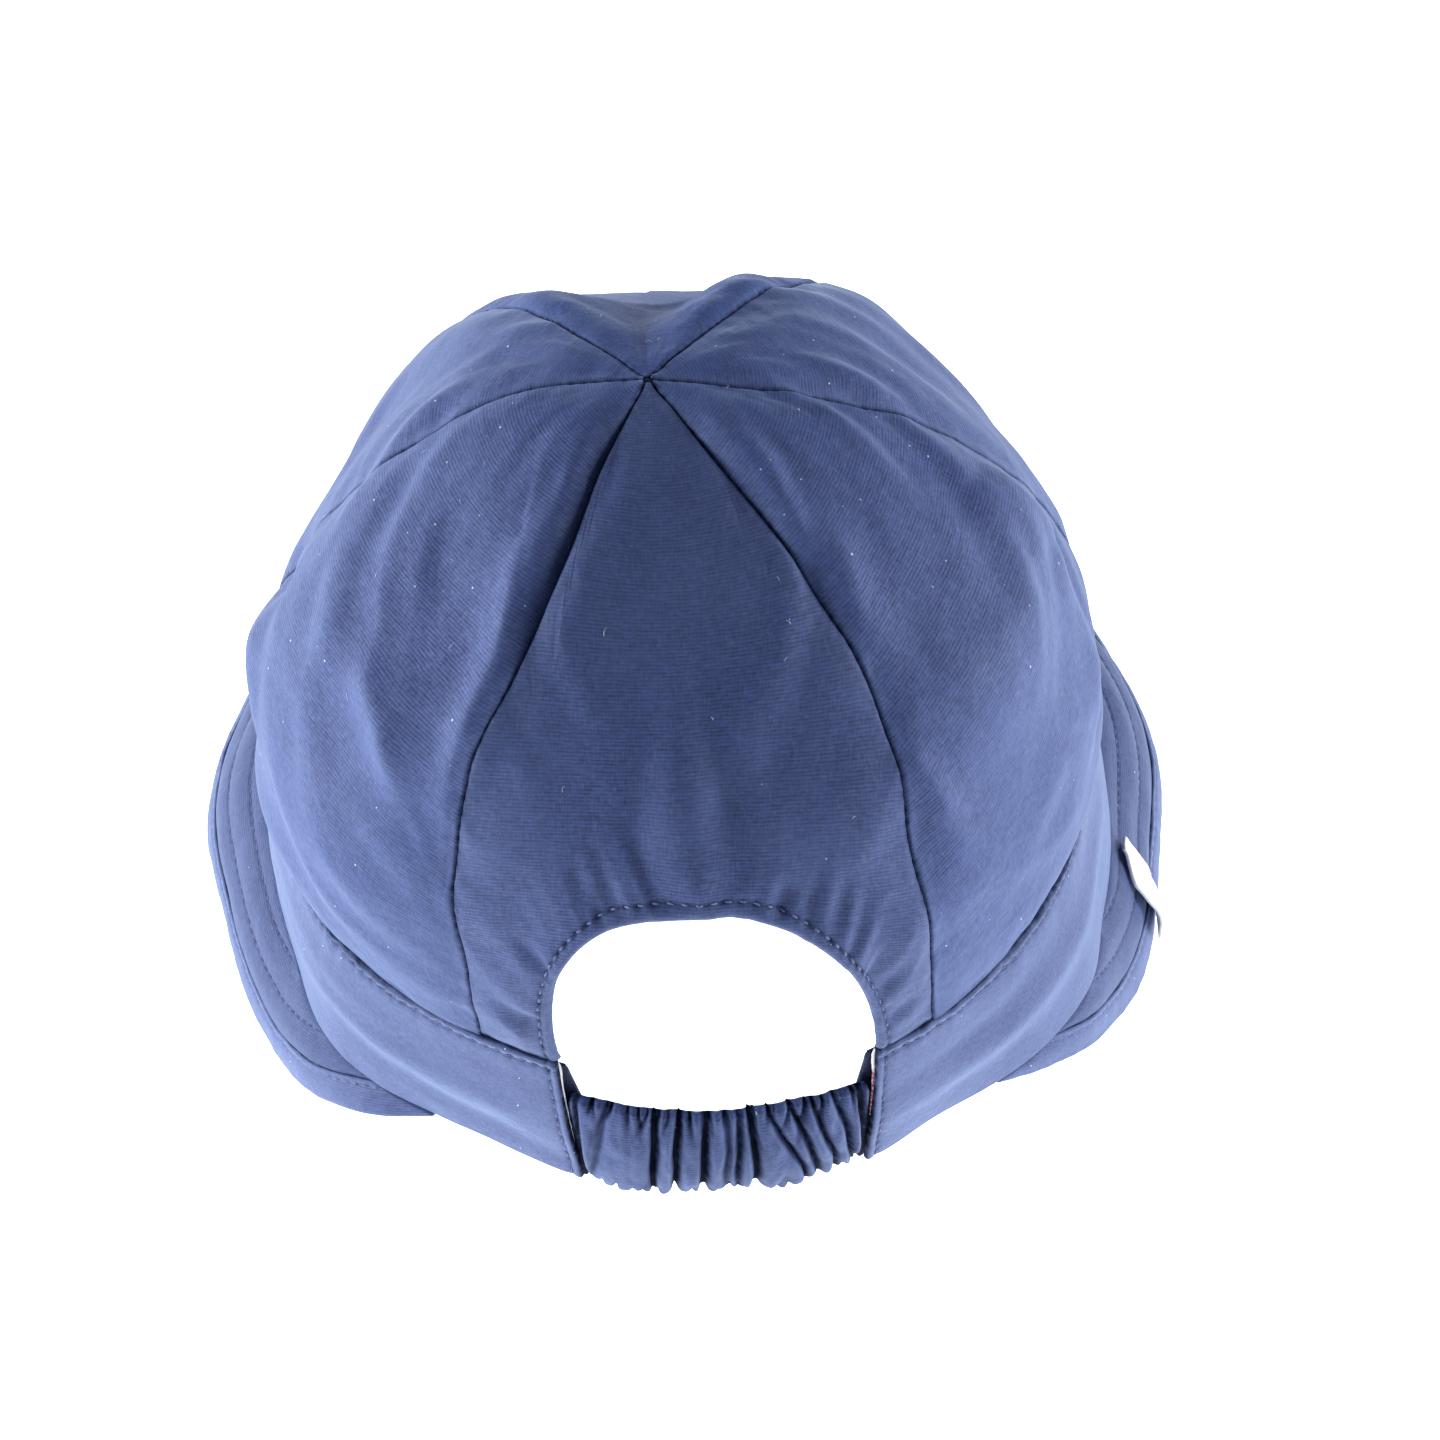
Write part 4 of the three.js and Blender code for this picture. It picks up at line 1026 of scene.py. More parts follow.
def plain_panel(form, panel, material, seed):
    """A panel laid out in rows from its foot to the star."""
    foot_marks = EDGE_MARKS / form.profile_length
    even = np.linspace(foot_marks[-1], form.along_end, 118)
    along = np.r_[foot_marks, even[1:]]
    turns, to_start, to_end = [], [], []
    for value in along:
        start, end = form.edges(panel.first, panel.last, value, form.seam_lap)
        radius = max(float(form.radius_along(value)) * form.foot_radius, form.star_radius)
        width = float(np.radians(end - start) * radius)
        place = panel_positions(width, 84)
        turns.append(start + np.degrees(place / radius))
        to_start.append(np.maximum(place - form.seam_lap, 0))
        to_end.append(np.maximum(width - place - form.seam_lap, 0))
    turn, to_start, to_end = np.array(turns), np.array(to_start), np.array(to_end)
    along = np.repeat(along[:, None], turn.shape[1], 1)
    lift, roll = seam_lift(form, panel, along, to_start, to_end, seed)
    lift = lift + foot_lift(along, form, turn) - roll
    lift = lift + cloth_ripple(turn, along, form) * np.minimum(1, (1 - along) * 6)
    radius = form.radius_along(along) * form.foot_radius
    creased, crest = form.creases(turn, along, radius)
    lift = lift + creased * smoothstep(along, 0, form.fold_fade)
    outer = form.crown(turn, along, lift)
    to_seam = np.minimum(to_start, to_end)
    inner = panel_inside(form, turn, along, outer, lift, to_seam, np.inf)
    weave = panel_weave(form, panel, turn, along, radius, seed)
    # Painted highlight along seam rims and crease crests, and painted shade at the foot and in the seams.
    wear = painted_seam_light(np.minimum(to_seam, along * form.profile_length))
    wear[..., 0] = np.maximum(wear[..., 0], 0.45 * crest)
    wear[..., 1] = np.maximum(foot_shade(along * form.profile_length),
                              seam_shade(form, panel, along, to_start, to_end))
    return shell(panel.node + "_cloth", outer, inner, weave, wear, material)


def star_patch(form, material):
    """The cloth gathered under the star, where the points of the panels meet."""
    turns, shares = np.meshgrid(np.linspace(0, FULL_TURN, 37), np.linspace(0, 1, 5))
    along = 1 - (0.05 + shares * 2.6) / form.profile_length
    outer = form.crown(turns, along, -0.75 - 0.5 * shares)
    inner = form.crown(turns, along, -1.6 - 0.5 * shares)
    weave = np.stack([outer[..., 0], outer[..., 1], np.zeros_like(turns)], -1)
    # Painted shade over the whole patch, darkening the hollow under the star.
    wear = np.stack([np.zeros_like(turns), 0.8 * np.ones_like(turns)], -1)
    return shell("star_patch", outer, inner, weave, wear, material)


def opening_point(form, angle):
    """The back opening's edge, followed from its left foot over its top to its right foot."""
    left, right = form.opening_roundness
    roundness = left + (right - left) * smoothstep(-np.cos(angle), -0.4, 0.4)
    across = np.sign(np.cos(angle)) * np.abs(np.cos(angle)) ** (2 / roundness)
    up = np.abs(np.sin(angle)) ** (2 / roundness)
    along = form.along_at_height(up * form.opening_height / form.crown_height)
    return form.opening_mid_turn - across * form.opening_half_turn, along


def back_panel(form, panel, material, seed):
    """The back panel is laid out in rays from the opening's edge to its seams and the star."""
    side = np.linspace(0, 1, 105) ** 0.95
    tip = np.linspace(0, 1, 13)
    climb = np.r_[side, np.ones(len(tip) - 2), side[::-1]]
    across = np.r_[np.zeros(len(side)), tip[1:-1], np.ones(len(side))]
    out_along = climb * form.along_end
    start, end = form.edges(panel.first, panel.last, out_along)
    out_turn = start + (end - start) * across
    rays = len(climb)
    angle = np.linspace(0, 1, rays)
    angle = np.pi * (angle + 0.04 * np.sin(4 * np.pi * angle) / np.pi)
    in_turn, in_along = opening_point(form, np.clip(angle, 0, np.pi))
    near_marks = np.array([0, 0.1, 0.25, 0.5, 0.85, 1.3, 1.8, 2.3, 2.7, 3.0, HEM_MARK, 3.6, 4.0, 4.6, 5.4])
    hem = form.opening_hem * (0.62 + 0.38 * np.sin(angle).clip(0) ** 2)
    grid_turn, grid_along, from_edge = [], [], []
    for k in range(rays):
        mid = (in_along[k] + out_along[k]) / 2
        radius = float(form.radius_along(mid)) * form.foot_radius
        around = np.radians(out_turn[k] - in_turn[k]) * radius
        upward = (out_along[k] - in_along[k]) * form.profile_length
        length = float(np.hypot(around, upward))
        edge_radius = max(float(form.radius_along(out_along[k])) * form.foot_radius, form.star_radius)
        slant = np.clip(abs(np.radians(out_turn[k] - in_turn[k])) * edge_radius / length, 0.12, 1)
        if out_along[k] < 0.02:
            slant = 1
        far = EDGE_MARKS / slant
        scale = min(1.0, length * 0.45 / far[-1])
        close = min(hem[k] / HEM_MARK, length * 0.5 / near_marks[-1])
        low, high = near_marks[-1] * close, length - far[-1] * scale
        even = np.linspace(low, max(high, low + 0.01), 46)[1:-1]
        place = np.r_[near_marks * close, even, (length - far * scale)[::-1]] / length
        place = np.clip(place, 0, 1)
        grid_turn.append(in_turn[k] + (out_turn[k] - in_turn[k]) * place)
        grid_along.append(in_along[k] + (out_along[k] - in_along[k]) * place)
        from_edge.append(place * length)
    turn, along, from_edge = (np.array(values).T for values in (grid_turn, grid_along, from_edge))
    start, end = form.edges(panel.first, panel.last, along)
    radius = np.maximum(form.radius_along(along) * form.foot_radius, form.star_radius)
    to_start, to_end = np.radians(turn - start) * radius, np.radians(end - turn) * radius
    to_start, to_end = np.maximum(to_start, 0), np.maximum(to_end, 0)
    lift, roll = seam_lift(form, panel, along, to_start, to_end, seed)
    lift = lift + foot_lift(along, form, turn) * smoothstep(from_edge, 0, 2) - roll
    ripple = cloth_ripple(turn, along, form) * np.minimum(1, (1 - along) * 6)
    lift = lift + ripple * smoothstep(from_edge, 0, 8)
    rim = form.crown(in_turn, in_along)
    run = np.r_[0, np.cumsum(np.linalg.norm(np.diff(rim, axis=0), axis=1))][None, :]
    lift = lift - turned_edge(from_edge, 1.1) + 0.35 * np.exp(-((from_edge - 1.6) / 1.3) ** 2)
    lift = lift - stitch_dent(from_edge - hem, run, form.stitch_pitch)
    gather = noise_of(run / 2.7, from_edge / 14, 77) + 0.6 * noise_of(run / 5.5, from_edge / 20, 78)
    lift = lift + 0.75 * gather * np.exp(-((from_edge - 5) / 7) ** 2) * smoothstep(from_edge, 0.6, 4)
    lift = lift + 0.22 * noise_of(run / 1.8, from_edge / 3, 79) * np.exp(-from_edge / 3)
    lift = lift + form.creases(turn, along, radius)[0] * smoothstep(from_edge, 0, 6)
    outer = form.crown(turn, along, lift)
    to_seam = np.minimum(to_start, to_end)
    inner = panel_inside(form, turn, along, outer, lift, to_seam, from_edge)
    weave = panel_weave(form, panel, turn, along, radius, seed)
    # Painted highlight along seam rims and the opening's turned edge; painted shade at the foot, in the seams
    # and in the hem's needle holes.
    wear = painted_seam_light(np.minimum(to_seam, along * form.profile_length))
    wear[..., 0] = np.maximum(wear[..., 0], 0.55 * np.exp(-(from_edge / 1.2) ** 2))
    wear[..., 1] = np.maximum(foot_shade(along * form.profile_length) * smoothstep(from_edge, 0, 2),
                              seam_shade(form, panel, along, to_start, to_end))
    wear[..., 1] = np.maximum(wear[..., 1], hole_shade(from_edge - hem, run, form.stitch_pitch))
    piece = shell(panel.node + "_cloth", outer, inner, weave, wear, material)
    row = int(np.argmin(np.abs(near_marks - HEM_MARK)))
    path, normals = outer[row, 3:-3], grid_normals(outer)[row, 3:-3]
    return piece, stitches(path, normals, form.stitch_pitch, seed=3)


class SUNCAP_OT_crown(Operator):
    """Lays the six panels of the crown over the frame, with the turned hem of the back opening"""
    bl_idname = "suncap.crown"
    bl_label = "Crown"

    def execute(self, context):
        form, colours = CapForm(context.scene.cap_sizes), context.scene.cap_colours
        back, sides = PANELS[0], PANELS[1:]
        cloth = panel_cloth(back, colours)
        piece, sewn = back_panel(form, back, cloth, FIRST_PANEL_SEED)
        seat(star_patch(form, cloth), "back_cloth")
        verts, faces = joined([sewn])
        seat(mesh_piece("opening_stitches", verts, faces, sewing_thread(colours)), "back_cloth")
        seat(piece, "back_cloth", back.node)
        for seed, panel in enumerate(sides, FIRST_PANEL_SEED + 1):
            seat(plain_panel(form, panel, panel_cloth(panel, colours), seed), "crown_cloth", panel.node)
        return {"FINISHED"}


BAND_WALL = 1.1
BAND_ROW = 2.3  # the band's stitches below its upper edge, and those in from its ends
END_ROW = 1.9


class SUNCAP_OT_band(Operator):
    """Lays the band round the crown's foot, with its topstitching and its soft folds"""
    bl_idname = "suncap.band"
    bl_label = "Band"

    def execute(self, context):
        form, colours = CapForm(context.scene.cap_sizes), context.scene.cap_colours
        stitch_level = form.band_height - BAND_ROW
        levels = np.linspace(0, form.band_height, 33)
        top = form.band_height - np.array(ROLL_MARKS + [1.4, 1.75, 2.0, BAND_ROW, 2.6, 2.9, 3.3])
        levels = levels[(levels > 1.2) & (levels < top[-1] - 0.4)]
        levels = np.unique(np.round(np.r_[ROLL_MARKS, levels, top], 4))
        radius = (form.band_radius_y + form.seam_radius_y) / 2
        length = np.radians(FULL_TURN - form.right_end_hem - form.left_end_hem) * radius
        marks = np.array(ROLL_MARKS + [1.3, 1.6, END_ROW, 2.2, 2.6])
        even = np.linspace(marks[-1], length - marks[-1], 760)
        place = np.r_[marks, even[1:-1], length - marks[::-1]]
        level = np.repeat(levels[:, None], len(place), 1)
        first, last = form.band_end(level, 1), FULL_TURN - form.band_end(level, -1)
        turn = first + (last - first) * place[None, :] / length
        from_end = np.minimum(place, length - place)[None, :] * np.ones_like(level)
        around = np.radians(turn) * radius
        lift = -turned_edge(form.band_height - level, SEAM_ROLL) - turned_edge(level, 0.6)
        lift = lift - turned_edge(from_end, 0.6) + 0.2 * np.exp(-((from_end - 1.0) / 0.8) ** 2)
        lift = lift - stitch_dent(level - stitch_level, around, form.stitch_pitch, start=0, depth=0.45)
        lift = lift + 0.22 * np.exp(-((level - form.band_height + 1.2) / 0.7) ** 2)
        lift = lift - stitch_dent(from_end - END_ROW, level, form.stitch_pitch, start=0)
        lift = lift + folds_height(BAND_FOLDS, turn, level, radius)
        lift = lift + noise_of(around / 22, level / 9, 51) * 0.35 + noise_of(around / 7, level / 5, 52) * 0.1
        pucker = noise_of(around / 2.4, level / 6, 53) * np.exp(-(form.band_height - level) / 4)
        lift = lift + 0.34 * pucker
        outer = form.band(turn, level, -lift)
        inner = form.band(turn, level, BAND_WALL + 0.4 * smoothstep(from_end, 1, 6) - lift * 0.3)
        weave = np.stack([around, level, np.full_like(around, 3.0)], -1)
        # Painted highlight at the band's upper and end rims; painted shade in the seam and the needle holes,
        # and a painted shadow under the crown's overhang.
        wear = painted_seam_light(np.minimum(form.band_height - level, from_end))
        holes = np.maximum(hole_shade(level - stitch_level, around, form.stitch_pitch, start=0),
                           hole_shade(from_end - END_ROW, level, form.stitch_pitch, start=0))
        overhang = form.overhang(turn % FULL_TURN)
        under = np.clip(0.45 + 0.4 * overhang, 0, 0.95)
        under = under * np.exp(-((form.band_height - level) / (1.1 + 0.4 * overhang)) ** 2)
        wear[..., 1] = np.maximum(wear[..., 1], np.maximum(under, holes))
        # The tone gives the band a lighter copy of the cloth, for the floor's light from below: painted
        # light.
        cloth = woven_cloth("band_weave", colours, twill=2.0, tone=1.05, gloss=1.7)
        seat(shell("band_cloth", outer, inner, weave, wear, cloth), "band_cloth", "band")
        normals = grid_normals(outer)
        row = int(np.argmin(np.abs(levels - stitch_level)))
        parts = [stitches(outer[row], normals[row], form.stitch_pitch, seed=5)]
        end_column = int(np.argmin(np.abs(marks - END_ROW)))
        for column in (end_column, -1 - end_column):
            parts.append(stitches(outer[:, column], normals[:, column], form.stitch_pitch, seed=6))
        verts, faces = joined(parts)
        seat(mesh_piece("band_stitches", verts, faces, sewing_thread(colours)), "band_cloth")
        return {"FINISHED"}


STRAP_DEPTH = 1.8  # behind the band's face, and deeper where the strap runs in behind its ends
STRAP_INSET = 2.4
STRAP_HEM = 0.4  # the strap's lower edge above the band's
STRAP_WALL = 1.1
STRAP_ENDS = (-22.5, 22.5)


def strap_gathers(form, turn, share):
    """The gathers at each point: how far they stand out and hang, their lap, the painted shade in their
    valleys and the painted highlight on their crests.
    """
    shape = (len(STRAP_CREASES["upper"]),) + (1,) * turn.ndim
    upper, lower, depth, lap = (column.reshape(shape) for column in STRAP_CREASES.values())
    lines = lower + (upper - lower) * share ** 1.2
    lines = lines + 0.25 * noise_of(share * 3, np.arange(len(upper)).reshape(shape) * 5.0, 63)
    first = np.clip((turn >= lines).sum(0) - 1, 0, len(upper) - 2)

    def row(values, step):
        values = np.broadcast_to(values, lines.shape)
        return np.take_along_axis(values, (first + step)[None], 0)[0]
    start, end = row(lines, 0), row(lines, 1)
    to_start = np.maximum(turn - start, 0) * np.radians(1) * form.band_radius_y
    to_end = np.maximum(end - turn, 0) * np.radians(1) * form.band_radius_y
    place = to_start / np.maximum(to_start + to_end, 1e-6)
    lobe = np.sqrt(np.sin(np.pi * place).clip(0)) * np.clip((to_start + to_end) / 3, 0.3, 1)
    reach = 0.4 + 0.6 * row(depth, 0) + 0.3 * noise_of(share * 2.2, first * 7.0, 67)
    valley_start = row(depth, 0) * np.exp(-(to_start / (1.2 * reach)) ** 2)
    valley_end = row(depth, 1) * np.exp(-(to_end / 0.7) ** 2)
    ridge = np.clip(1 - valley_start - valley_end, 0, 1) * (0.82 + 0.18 * np.sin(np.pi * place))
    shift = row(lap, 1) * ridge * place ** 3
    shade = np.maximum(row(depth, 0) * np.exp(-(to_start / (1.15 * reach)) ** 2.5),
                       row(depth, 1) * np.exp(-(to_end / 0.65) ** 2.5))
    crest = row(depth, 1) * np.exp(-((to_end - 1.1) / 0.35) ** 2)
    return ridge, lobe, shift, shade, crest


def strap_pleats(form, turn, share):
    """Short pleats that run in from the strap's upper and lower edge."""
    rng = np.random.default_rng(31)
    across, up = np.radians(turn) * form.band_radius_y, share * form.strap_height
    total = np.zeros(turn.shape)
    for from_edge, count, longest in ((form.strap_height - up, 30, 8.5), (up, 20, 5.0)):
        for place in np.linspace(-27, 27, count):
            place = place + rng.uniform(-0.8, 0.8)
            length, width = 1.6 + (longest - 1.6) * rng.uniform() ** 2, rng.uniform(0.35, 0.6)
            slant, depth = rng.uniform(-0.4, 0.4), rng.uniform(0.4, 1.1)
            away = np.abs(across - place - slant * from_edge) / (width * (1 + 0.1 * from_edge))
            total = total + depth * np.exp(-away ** 1.6 - (from_edge / length) ** 2)
    return np.minimum(total, 1.2)


def strap_point(form, turn, share, backing):
    """Points of the strap's outer face, or of its backing, with the painted highlight on their crests and the
    painted shade.
    """
    up = share * form.strap_height
    end = form.band_end(STRAP_HEM + up, turn)
    tuck = smoothstep(np.abs(turn), end - 1.3, end - 0.1)
    inset = smoothstep(np.abs(turn), end - 0.1, end + 2)
    shown = 1 - smoothstep(np.abs(turn), end + 0.2, end + 0.8)
    ridge, lobe, shift, shade, crest = strap_gathers(form, turn, share)
    pleat = strap_pleats(form, turn, share)
    across = np.radians(turn) * form.band_radius_y
    fine = noise_of(across / 3.2, up / 6, 62) * 0.16 + noise_of(across / 1.3, up / 3, 64) * 0.06
    body = 0.2 + 0.18 * share + 0.74 * np.sin(np.pi * np.clip(share, 0, 1) ** 0.8) ** 0.6
    raised = form.strap_fullness * (ridge * body + fine - 0.4 * pleat) * (1 - tuck)
    depth = STRAP_DEPTH + 0.2 * tuck + (STRAP_INSET - STRAP_DEPTH - 0.2) * inset
    depth = depth - raised * (0.45 if backing else 1.0) + (STRAP_WALL - 0.3 * inset if backing else 0.0)
    hang = (0.55 * lobe + 0.9 * noise_of(across / 4.3, 0, 66)) * np.exp(-(share / 0.14) ** 2)
    peak = (0.5 * ridge - 0.7 * pleat) * np.exp(-((1 - share) / 0.09) ** 2)
    level = STRAP_HEM + up + (peak - hang) * (1 - tuck) - tuck * (2.4 - 0.4 * share) * shown
    lapped = turn if backing else turn + shift * (1 - tuck)
    # Painted shade in the valleys and pleats, and over the ends where the strap runs in behind the band.
    shade = np.maximum(shade, 0.75 * np.clip(pleat, 0, 1)) * (1 - tuck) + 0.9 * tuck
    return form.band(lapped, level, depth), crest, shade


class SUNCAP_OT_strap(Operator):
    """Gathers the elastic strap's casing between the two ends of the band"""
    bl_idname = "suncap.strap"
    bl_label = "Elastic strap"

    def execute(self, context):
        form, colours = CapForm(context.scene.cap_sizes), context.scene.cap_colours
        turns = np.linspace(*STRAP_ENDS, 620)
        marks = np.array(ROLL_MARKS + [1.4, 1.9]) / form.strap_height
        shares = np.r_[marks, np.linspace(marks[-1], 1 - marks[-1], 32)[1:-1], 1 - marks[::-1]]
        turn, share = np.meshgrid(turns, shares)
        outer, crest, shade = strap_point(form, turn, share, False)
        inner = strap_point(form, turn, share, True)[0]
        from_rim = np.minimum(share, 1 - share) * form.strap_height
        inward = np.stack([np.sin(np.radians(turn)), -np.cos(np.radians(turn)), np.zeros_like(turn)], -1)
        outer = outer + inward * (turned_edge(from_rim, 0.8) * 1.1)[..., None]
        steps = np.linalg.norm(np.diff(outer, axis=1, prepend=outer[:, :1]), axis=-1)
        weave = np.stack([np.cumsum(steps, axis=1), share * form.strap_height, np.full_like(share, 9.0)], -1)
        # Painted highlight on the crests and painted shade in the valleys.
        wear = np.stack([0.9 * crest, 1.5 * shade], -1)
        cloth = woven_cloth("strap_weave", colours, tone=0.95)
        seat(shell("strap_cloth", outer, inner, weave, wear, cloth), "strap_cloth", "elastic_strap")
        return {"FINISHED"}


BRIM_WALL = 2.0
BRIM_ENDS = (50.2, 309.8)
BORDER_ENDS = (41.0, 319.2)
EDGE_LAP = 0.2  # how far the brim and its border lap at their seam
BORDER_ROW = 0.81  # the border's stitches, as a share of its width
FLOOR_CLEARANCE = 0.02


class SUNCAP_OT_brim(Operator):
    """Lays the quilted brim and its border strip, with their rows of stitching"""
    bl_idname = "suncap.brim"
    bl_label = "Brim"

    def execute(self, context):
        form, colours = CapForm(context.scene.cap_sizes), context.scene.cap_colours
        # The tone gives the brim a darker copy of the cloth, for how it is lit: painted shade.
        cloth = woven_cloth("brim_weave", colours, twill=4.0, tone=0.82)
        turns = np.linspace(*BRIM_ENDS, 620)
        length = form.brim_cut(turns)[2][-1]
        inner_edge = form.border_width - EDGE_LAP
        width = np.maximum(length - inner_edge, 0.3) + form.tuck_in
        marks = list(ROLL_MARKS)
        for row in QUILT_ROWS:
            marks += [row - inner_edge + offset for offset in (-0.9, -0.45, -0.2, 0, 0.2, 0.45, 0.9)]
        marks = np.unique(np.round(np.r_[marks, np.arange(2.2, 58, 1.45)], 3))
        back = np.minimum(marks[:, None], width[None, :])
        keep = marks < width.max() + 1.5
        back = back[keep] + inner_edge
        radius = form.band_radius_y + 10
        around = np.radians(turns)[None, :] * radius * np.ones_like(back)
        lift = -turned_edge(back - inner_edge, 0.8)
        rows = np.array((inner_edge,) + QUILT_ROWS)
        near = np.abs(back[..., None] - rows).min(-1)
        lift = lift + 0.42 * (1 - np.exp(-(near / 2.6) ** 2)) - 0.3
        for row in QUILT_ROWS:
            lift = lift - stitch_dent(back - row, around, form.stitch_pitch, start=0, width=0.5, depth=0.34)
        lift = lift + noise_of(around / 16, back / 7, 71) * 0.3 + noise_of(around / 5, back / 4, 72) * 0.1
        lift = lift * smoothstep(length[None, :] - back, -0.5, 2.5)
        outer = form.brim(turns, back, lift)
        inner = form.brim(turns, back, lift * 0.3 - BRIM_WALL)
        weave = np.stack([around, back, np.full_like(back, 5.0)], -1)
        # Painted highlight and painted shade at the border's seam, and painted shade along the quilting rows.
        wear = painted_seam_light(back - inner_edge)
        quilted = np.exp(-((back[..., None] - rows[1:]) / 0.3) ** 2).max(-1)
        wear[..., 1] = np.maximum(wear[..., 1], 0.5 * quilted)
        seat(shell("brim_cloth", outer, inner, weave, wear, cloth), "brim_cloth", "brim")
        normals, parts = grid_normals(outer), []
        for row in QUILT_ROWS:
            hit = int(np.argmin(np.abs(marks[keep] - (row - inner_edge))))
            there = np.where(length > row + 1.2)[0]
            if len(there) > 4:
                parts.append(stitches(outer[hit, there], normals[hit, there], form.stitch_pitch,
                                      width=0.38, height=0.3, seed=int(row)))
        # The border gets a lighter copy of the cloth, for how it is lit: painted light.
        self.border(form, woven_cloth("border_weave", colours, twill=4.0, tone=1.05, gloss=1.6), parts)
        verts, faces = joined(parts)
        seat(mesh_piece("brim_stitches", verts, faces, sewing_thread(colours)), "brim_cloth")
        return {"FINISHED"}

    def border(self, form, cloth, parts):
        """The strip outside the brim's last seam. Its stitches are added to parts."""
        turns = np.linspace(*BORDER_ENDS, 640)
        length = form.brim_cut(turns)[2][-1]
        width = np.minimum(form.border_width + EDGE_LAP, length + form.tuck_in)
        marks = np.array([0, 0.1, 0.25, 0.5, 0.8, 1.2, 1.8, 2.6, 3.4, 4.2, 5.0, 5.8, 6.4, 6.7, 6.95, 7.2,
                          7.45, 7.7, 7.95, 8.2, 8.45, 8.65, 8.8, 8.9]) / 8.9
        back = marks[:, None] * width[None, :]
        radius = form.band_radius_y + 14
        around = np.radians(turns)[None, :] * radius * np.ones_like(back)
        to_seam = form.border_width - back
        lift = -turned_edge(to_seam, 0.8) - turned_edge(back, 1.0)
        lift = lift + 0.25 * np.exp(-((back - 4.6) / 3) ** 2)
        lift = lift - stitch_dent(to_seam - 1.7, around, form.stitch_pitch, start=0, width=0.5, depth=0.3)
        lift = lift + noise_of(around / 9, back / 8, 73) * 0.22 + noise_of(around / 2.6, back / 5, 74) * 0.1
        outer = form.brim(turns, back, lift)
        inner = form.brim(turns, back, -BRIM_WALL)
        for face in (outer, inner):
            face[..., 2] = np.maximum(face[..., 2], FLOOR_CLEARANCE)
        weave = np.stack([around, back, np.full_like(back, 6.0)], -1)
        # Painted highlight and painted shade at the seam, and a painted highlight along the rolled outer
        # edge.
        wear = painted_seam_light(to_seam)
        wear[..., 0] = np.maximum(wear[..., 0], 0.6 * np.exp(-(back / 0.9) ** 2))
        seat(shell("brim_border_cloth", outer, inner, weave, wear, cloth), "brim_cloth", "brim_border")
        row = int(np.argmin(np.abs(marks - BORDER_ROW)))
        parts.append(stitches(outer[row], grid_normals(outer)[row], form.stitch_pitch,
                              width=0.42, height=0.32, seed=19))


class SUNCAP_OT_tapes(Operator):
    """Adds the inner tapes and facings that show at the two ends of the band"""
    bl_idname = "suncap.tapes"
    bl_label = "Inner tapes"

    def execute(self, context):
        form, colours = CapForm(context.scene.cap_sizes), context.scene.cap_colours
        white = tape_weave("white_tape", list(colours.tape))
        red = tape_weave("red_and_white_tape", list(colours.tape), list(colours.red), share=0.6)
        dark = woven_cloth("facing_weave", colours, tone=0.45, lint=0.4)
        materials = {"white_tape": white, "red_tape": red, "dark_facing": dark}
        radius = (form.band_radius_y + form.seam_radius_y) / 2
        for node, side, edge_depth, depth, foot_show, top_show, bottom, top, slot in TAPES:
            levels, places = np.linspace(bottom, top, 60), np.linspace(0, 1, 26)
            level, place = np.meshgrid(levels, places, indexing="ij")
            share = (level - bottom) / (top - bottom)
            show = foot_show + (top_show - foot_show) * share - 0.4 * smoothstep(share, 0.9, 1.0) ** 2
            inner_turn = side * (form.band_end(level, side) - np.degrees(show / radius))
            outer_turn = side * (form.band_end(level, side) + np.degrees(7 / radius))
            low, high = np.minimum(inner_turn, outer_turn), np.maximum(inner_turn, outer_turn)
            turn = low + (high - low) * place
            free = np.abs(turn - inner_turn) * radius * np.pi / 180
            wave = noise_of(level / 2.2, free / 4, 91) * 0.16 + noise_of(level / 0.8, free / 2, 92) * 0.06
            turn = turn + side * wave * np.exp(-free / 1.2) * 0.6
            lift = wave * np.exp(-free / 2) - turned_edge(free, 0.25)
            at = edge_depth + (depth - edge_depth) * smoothstep(free, 0, 2.5)
            outer = form.band(turn, level, at - lift)
            inner = form.band(turn, level, at + (0.35 if depth > edge_depth else 0.9))
            weave = np.stack([level, free, np.full_like(free, depth)], -1)
            wear = np.zeros(level.shape + (2,))
            seat(shell(node + "_cloth", outer, inner, weave, wear, materials[slot]), slot, node)
        return {"FINISHED"}


LABEL_TURN = 82.4
LABEL_FOOT = 2.2  # the label's lower end, back from the brim's edge
LABEL_WALL = 0.7


class SUNCAP_OT_label(Operator):
    """Lays the bare folded tape that hangs on the right side of the brim"""
    bl_idname = "suncap.label"
    bl_label = "Label"

    def execute(self, context):
        form, colours = CapForm(context.scene.cap_sizes), context.scene.cap_colours
        width, length = form.label_width, form.label_length
        places, runs = np.linspace(0, 1, 34), np.linspace(0, 1, 90)
        place, run = places[None, :], runs[:, None]
        narrowing = 1 - 0.62 * smoothstep(run, 0.74, 1.0)
        middle = LABEL_TURN + 1.5 * smoothstep(run, 0.72, 1.0)
        turns = middle + np.degrees((place - 0.5) * width * narrowing / form.band_radius_x)
        back = LABEL_FOOT + 1.2 * place * (1 - run) + length * run
        curl = 1.1 + 2.6 * (1 - place) ** 2 * np.exp(-((run - 0.32) / 0.3) ** 2)
        curl = curl + 0.25 * noise_of(run * 6, place * 2, 95) + 0.5 * np.exp(-((1 - run) / 0.1) ** 2)
        outer = form.brim_points(turns, back, curl)
        inner = outer - grid_normals(outer) * LABEL_WALL
        across = np.repeat(place * width, len(runs), 0)
        weave = np.stack([across, back, np.zeros_like(back)], -1)
        wear = np.zeros(back.shape + (2,))
        piece = shell("label_tape", outer, inner, weave, wear, tape_weave("label_weave", list(colours.tape)))
        seat(piece, "label_tape", "label")
        return {"FINISHED"}


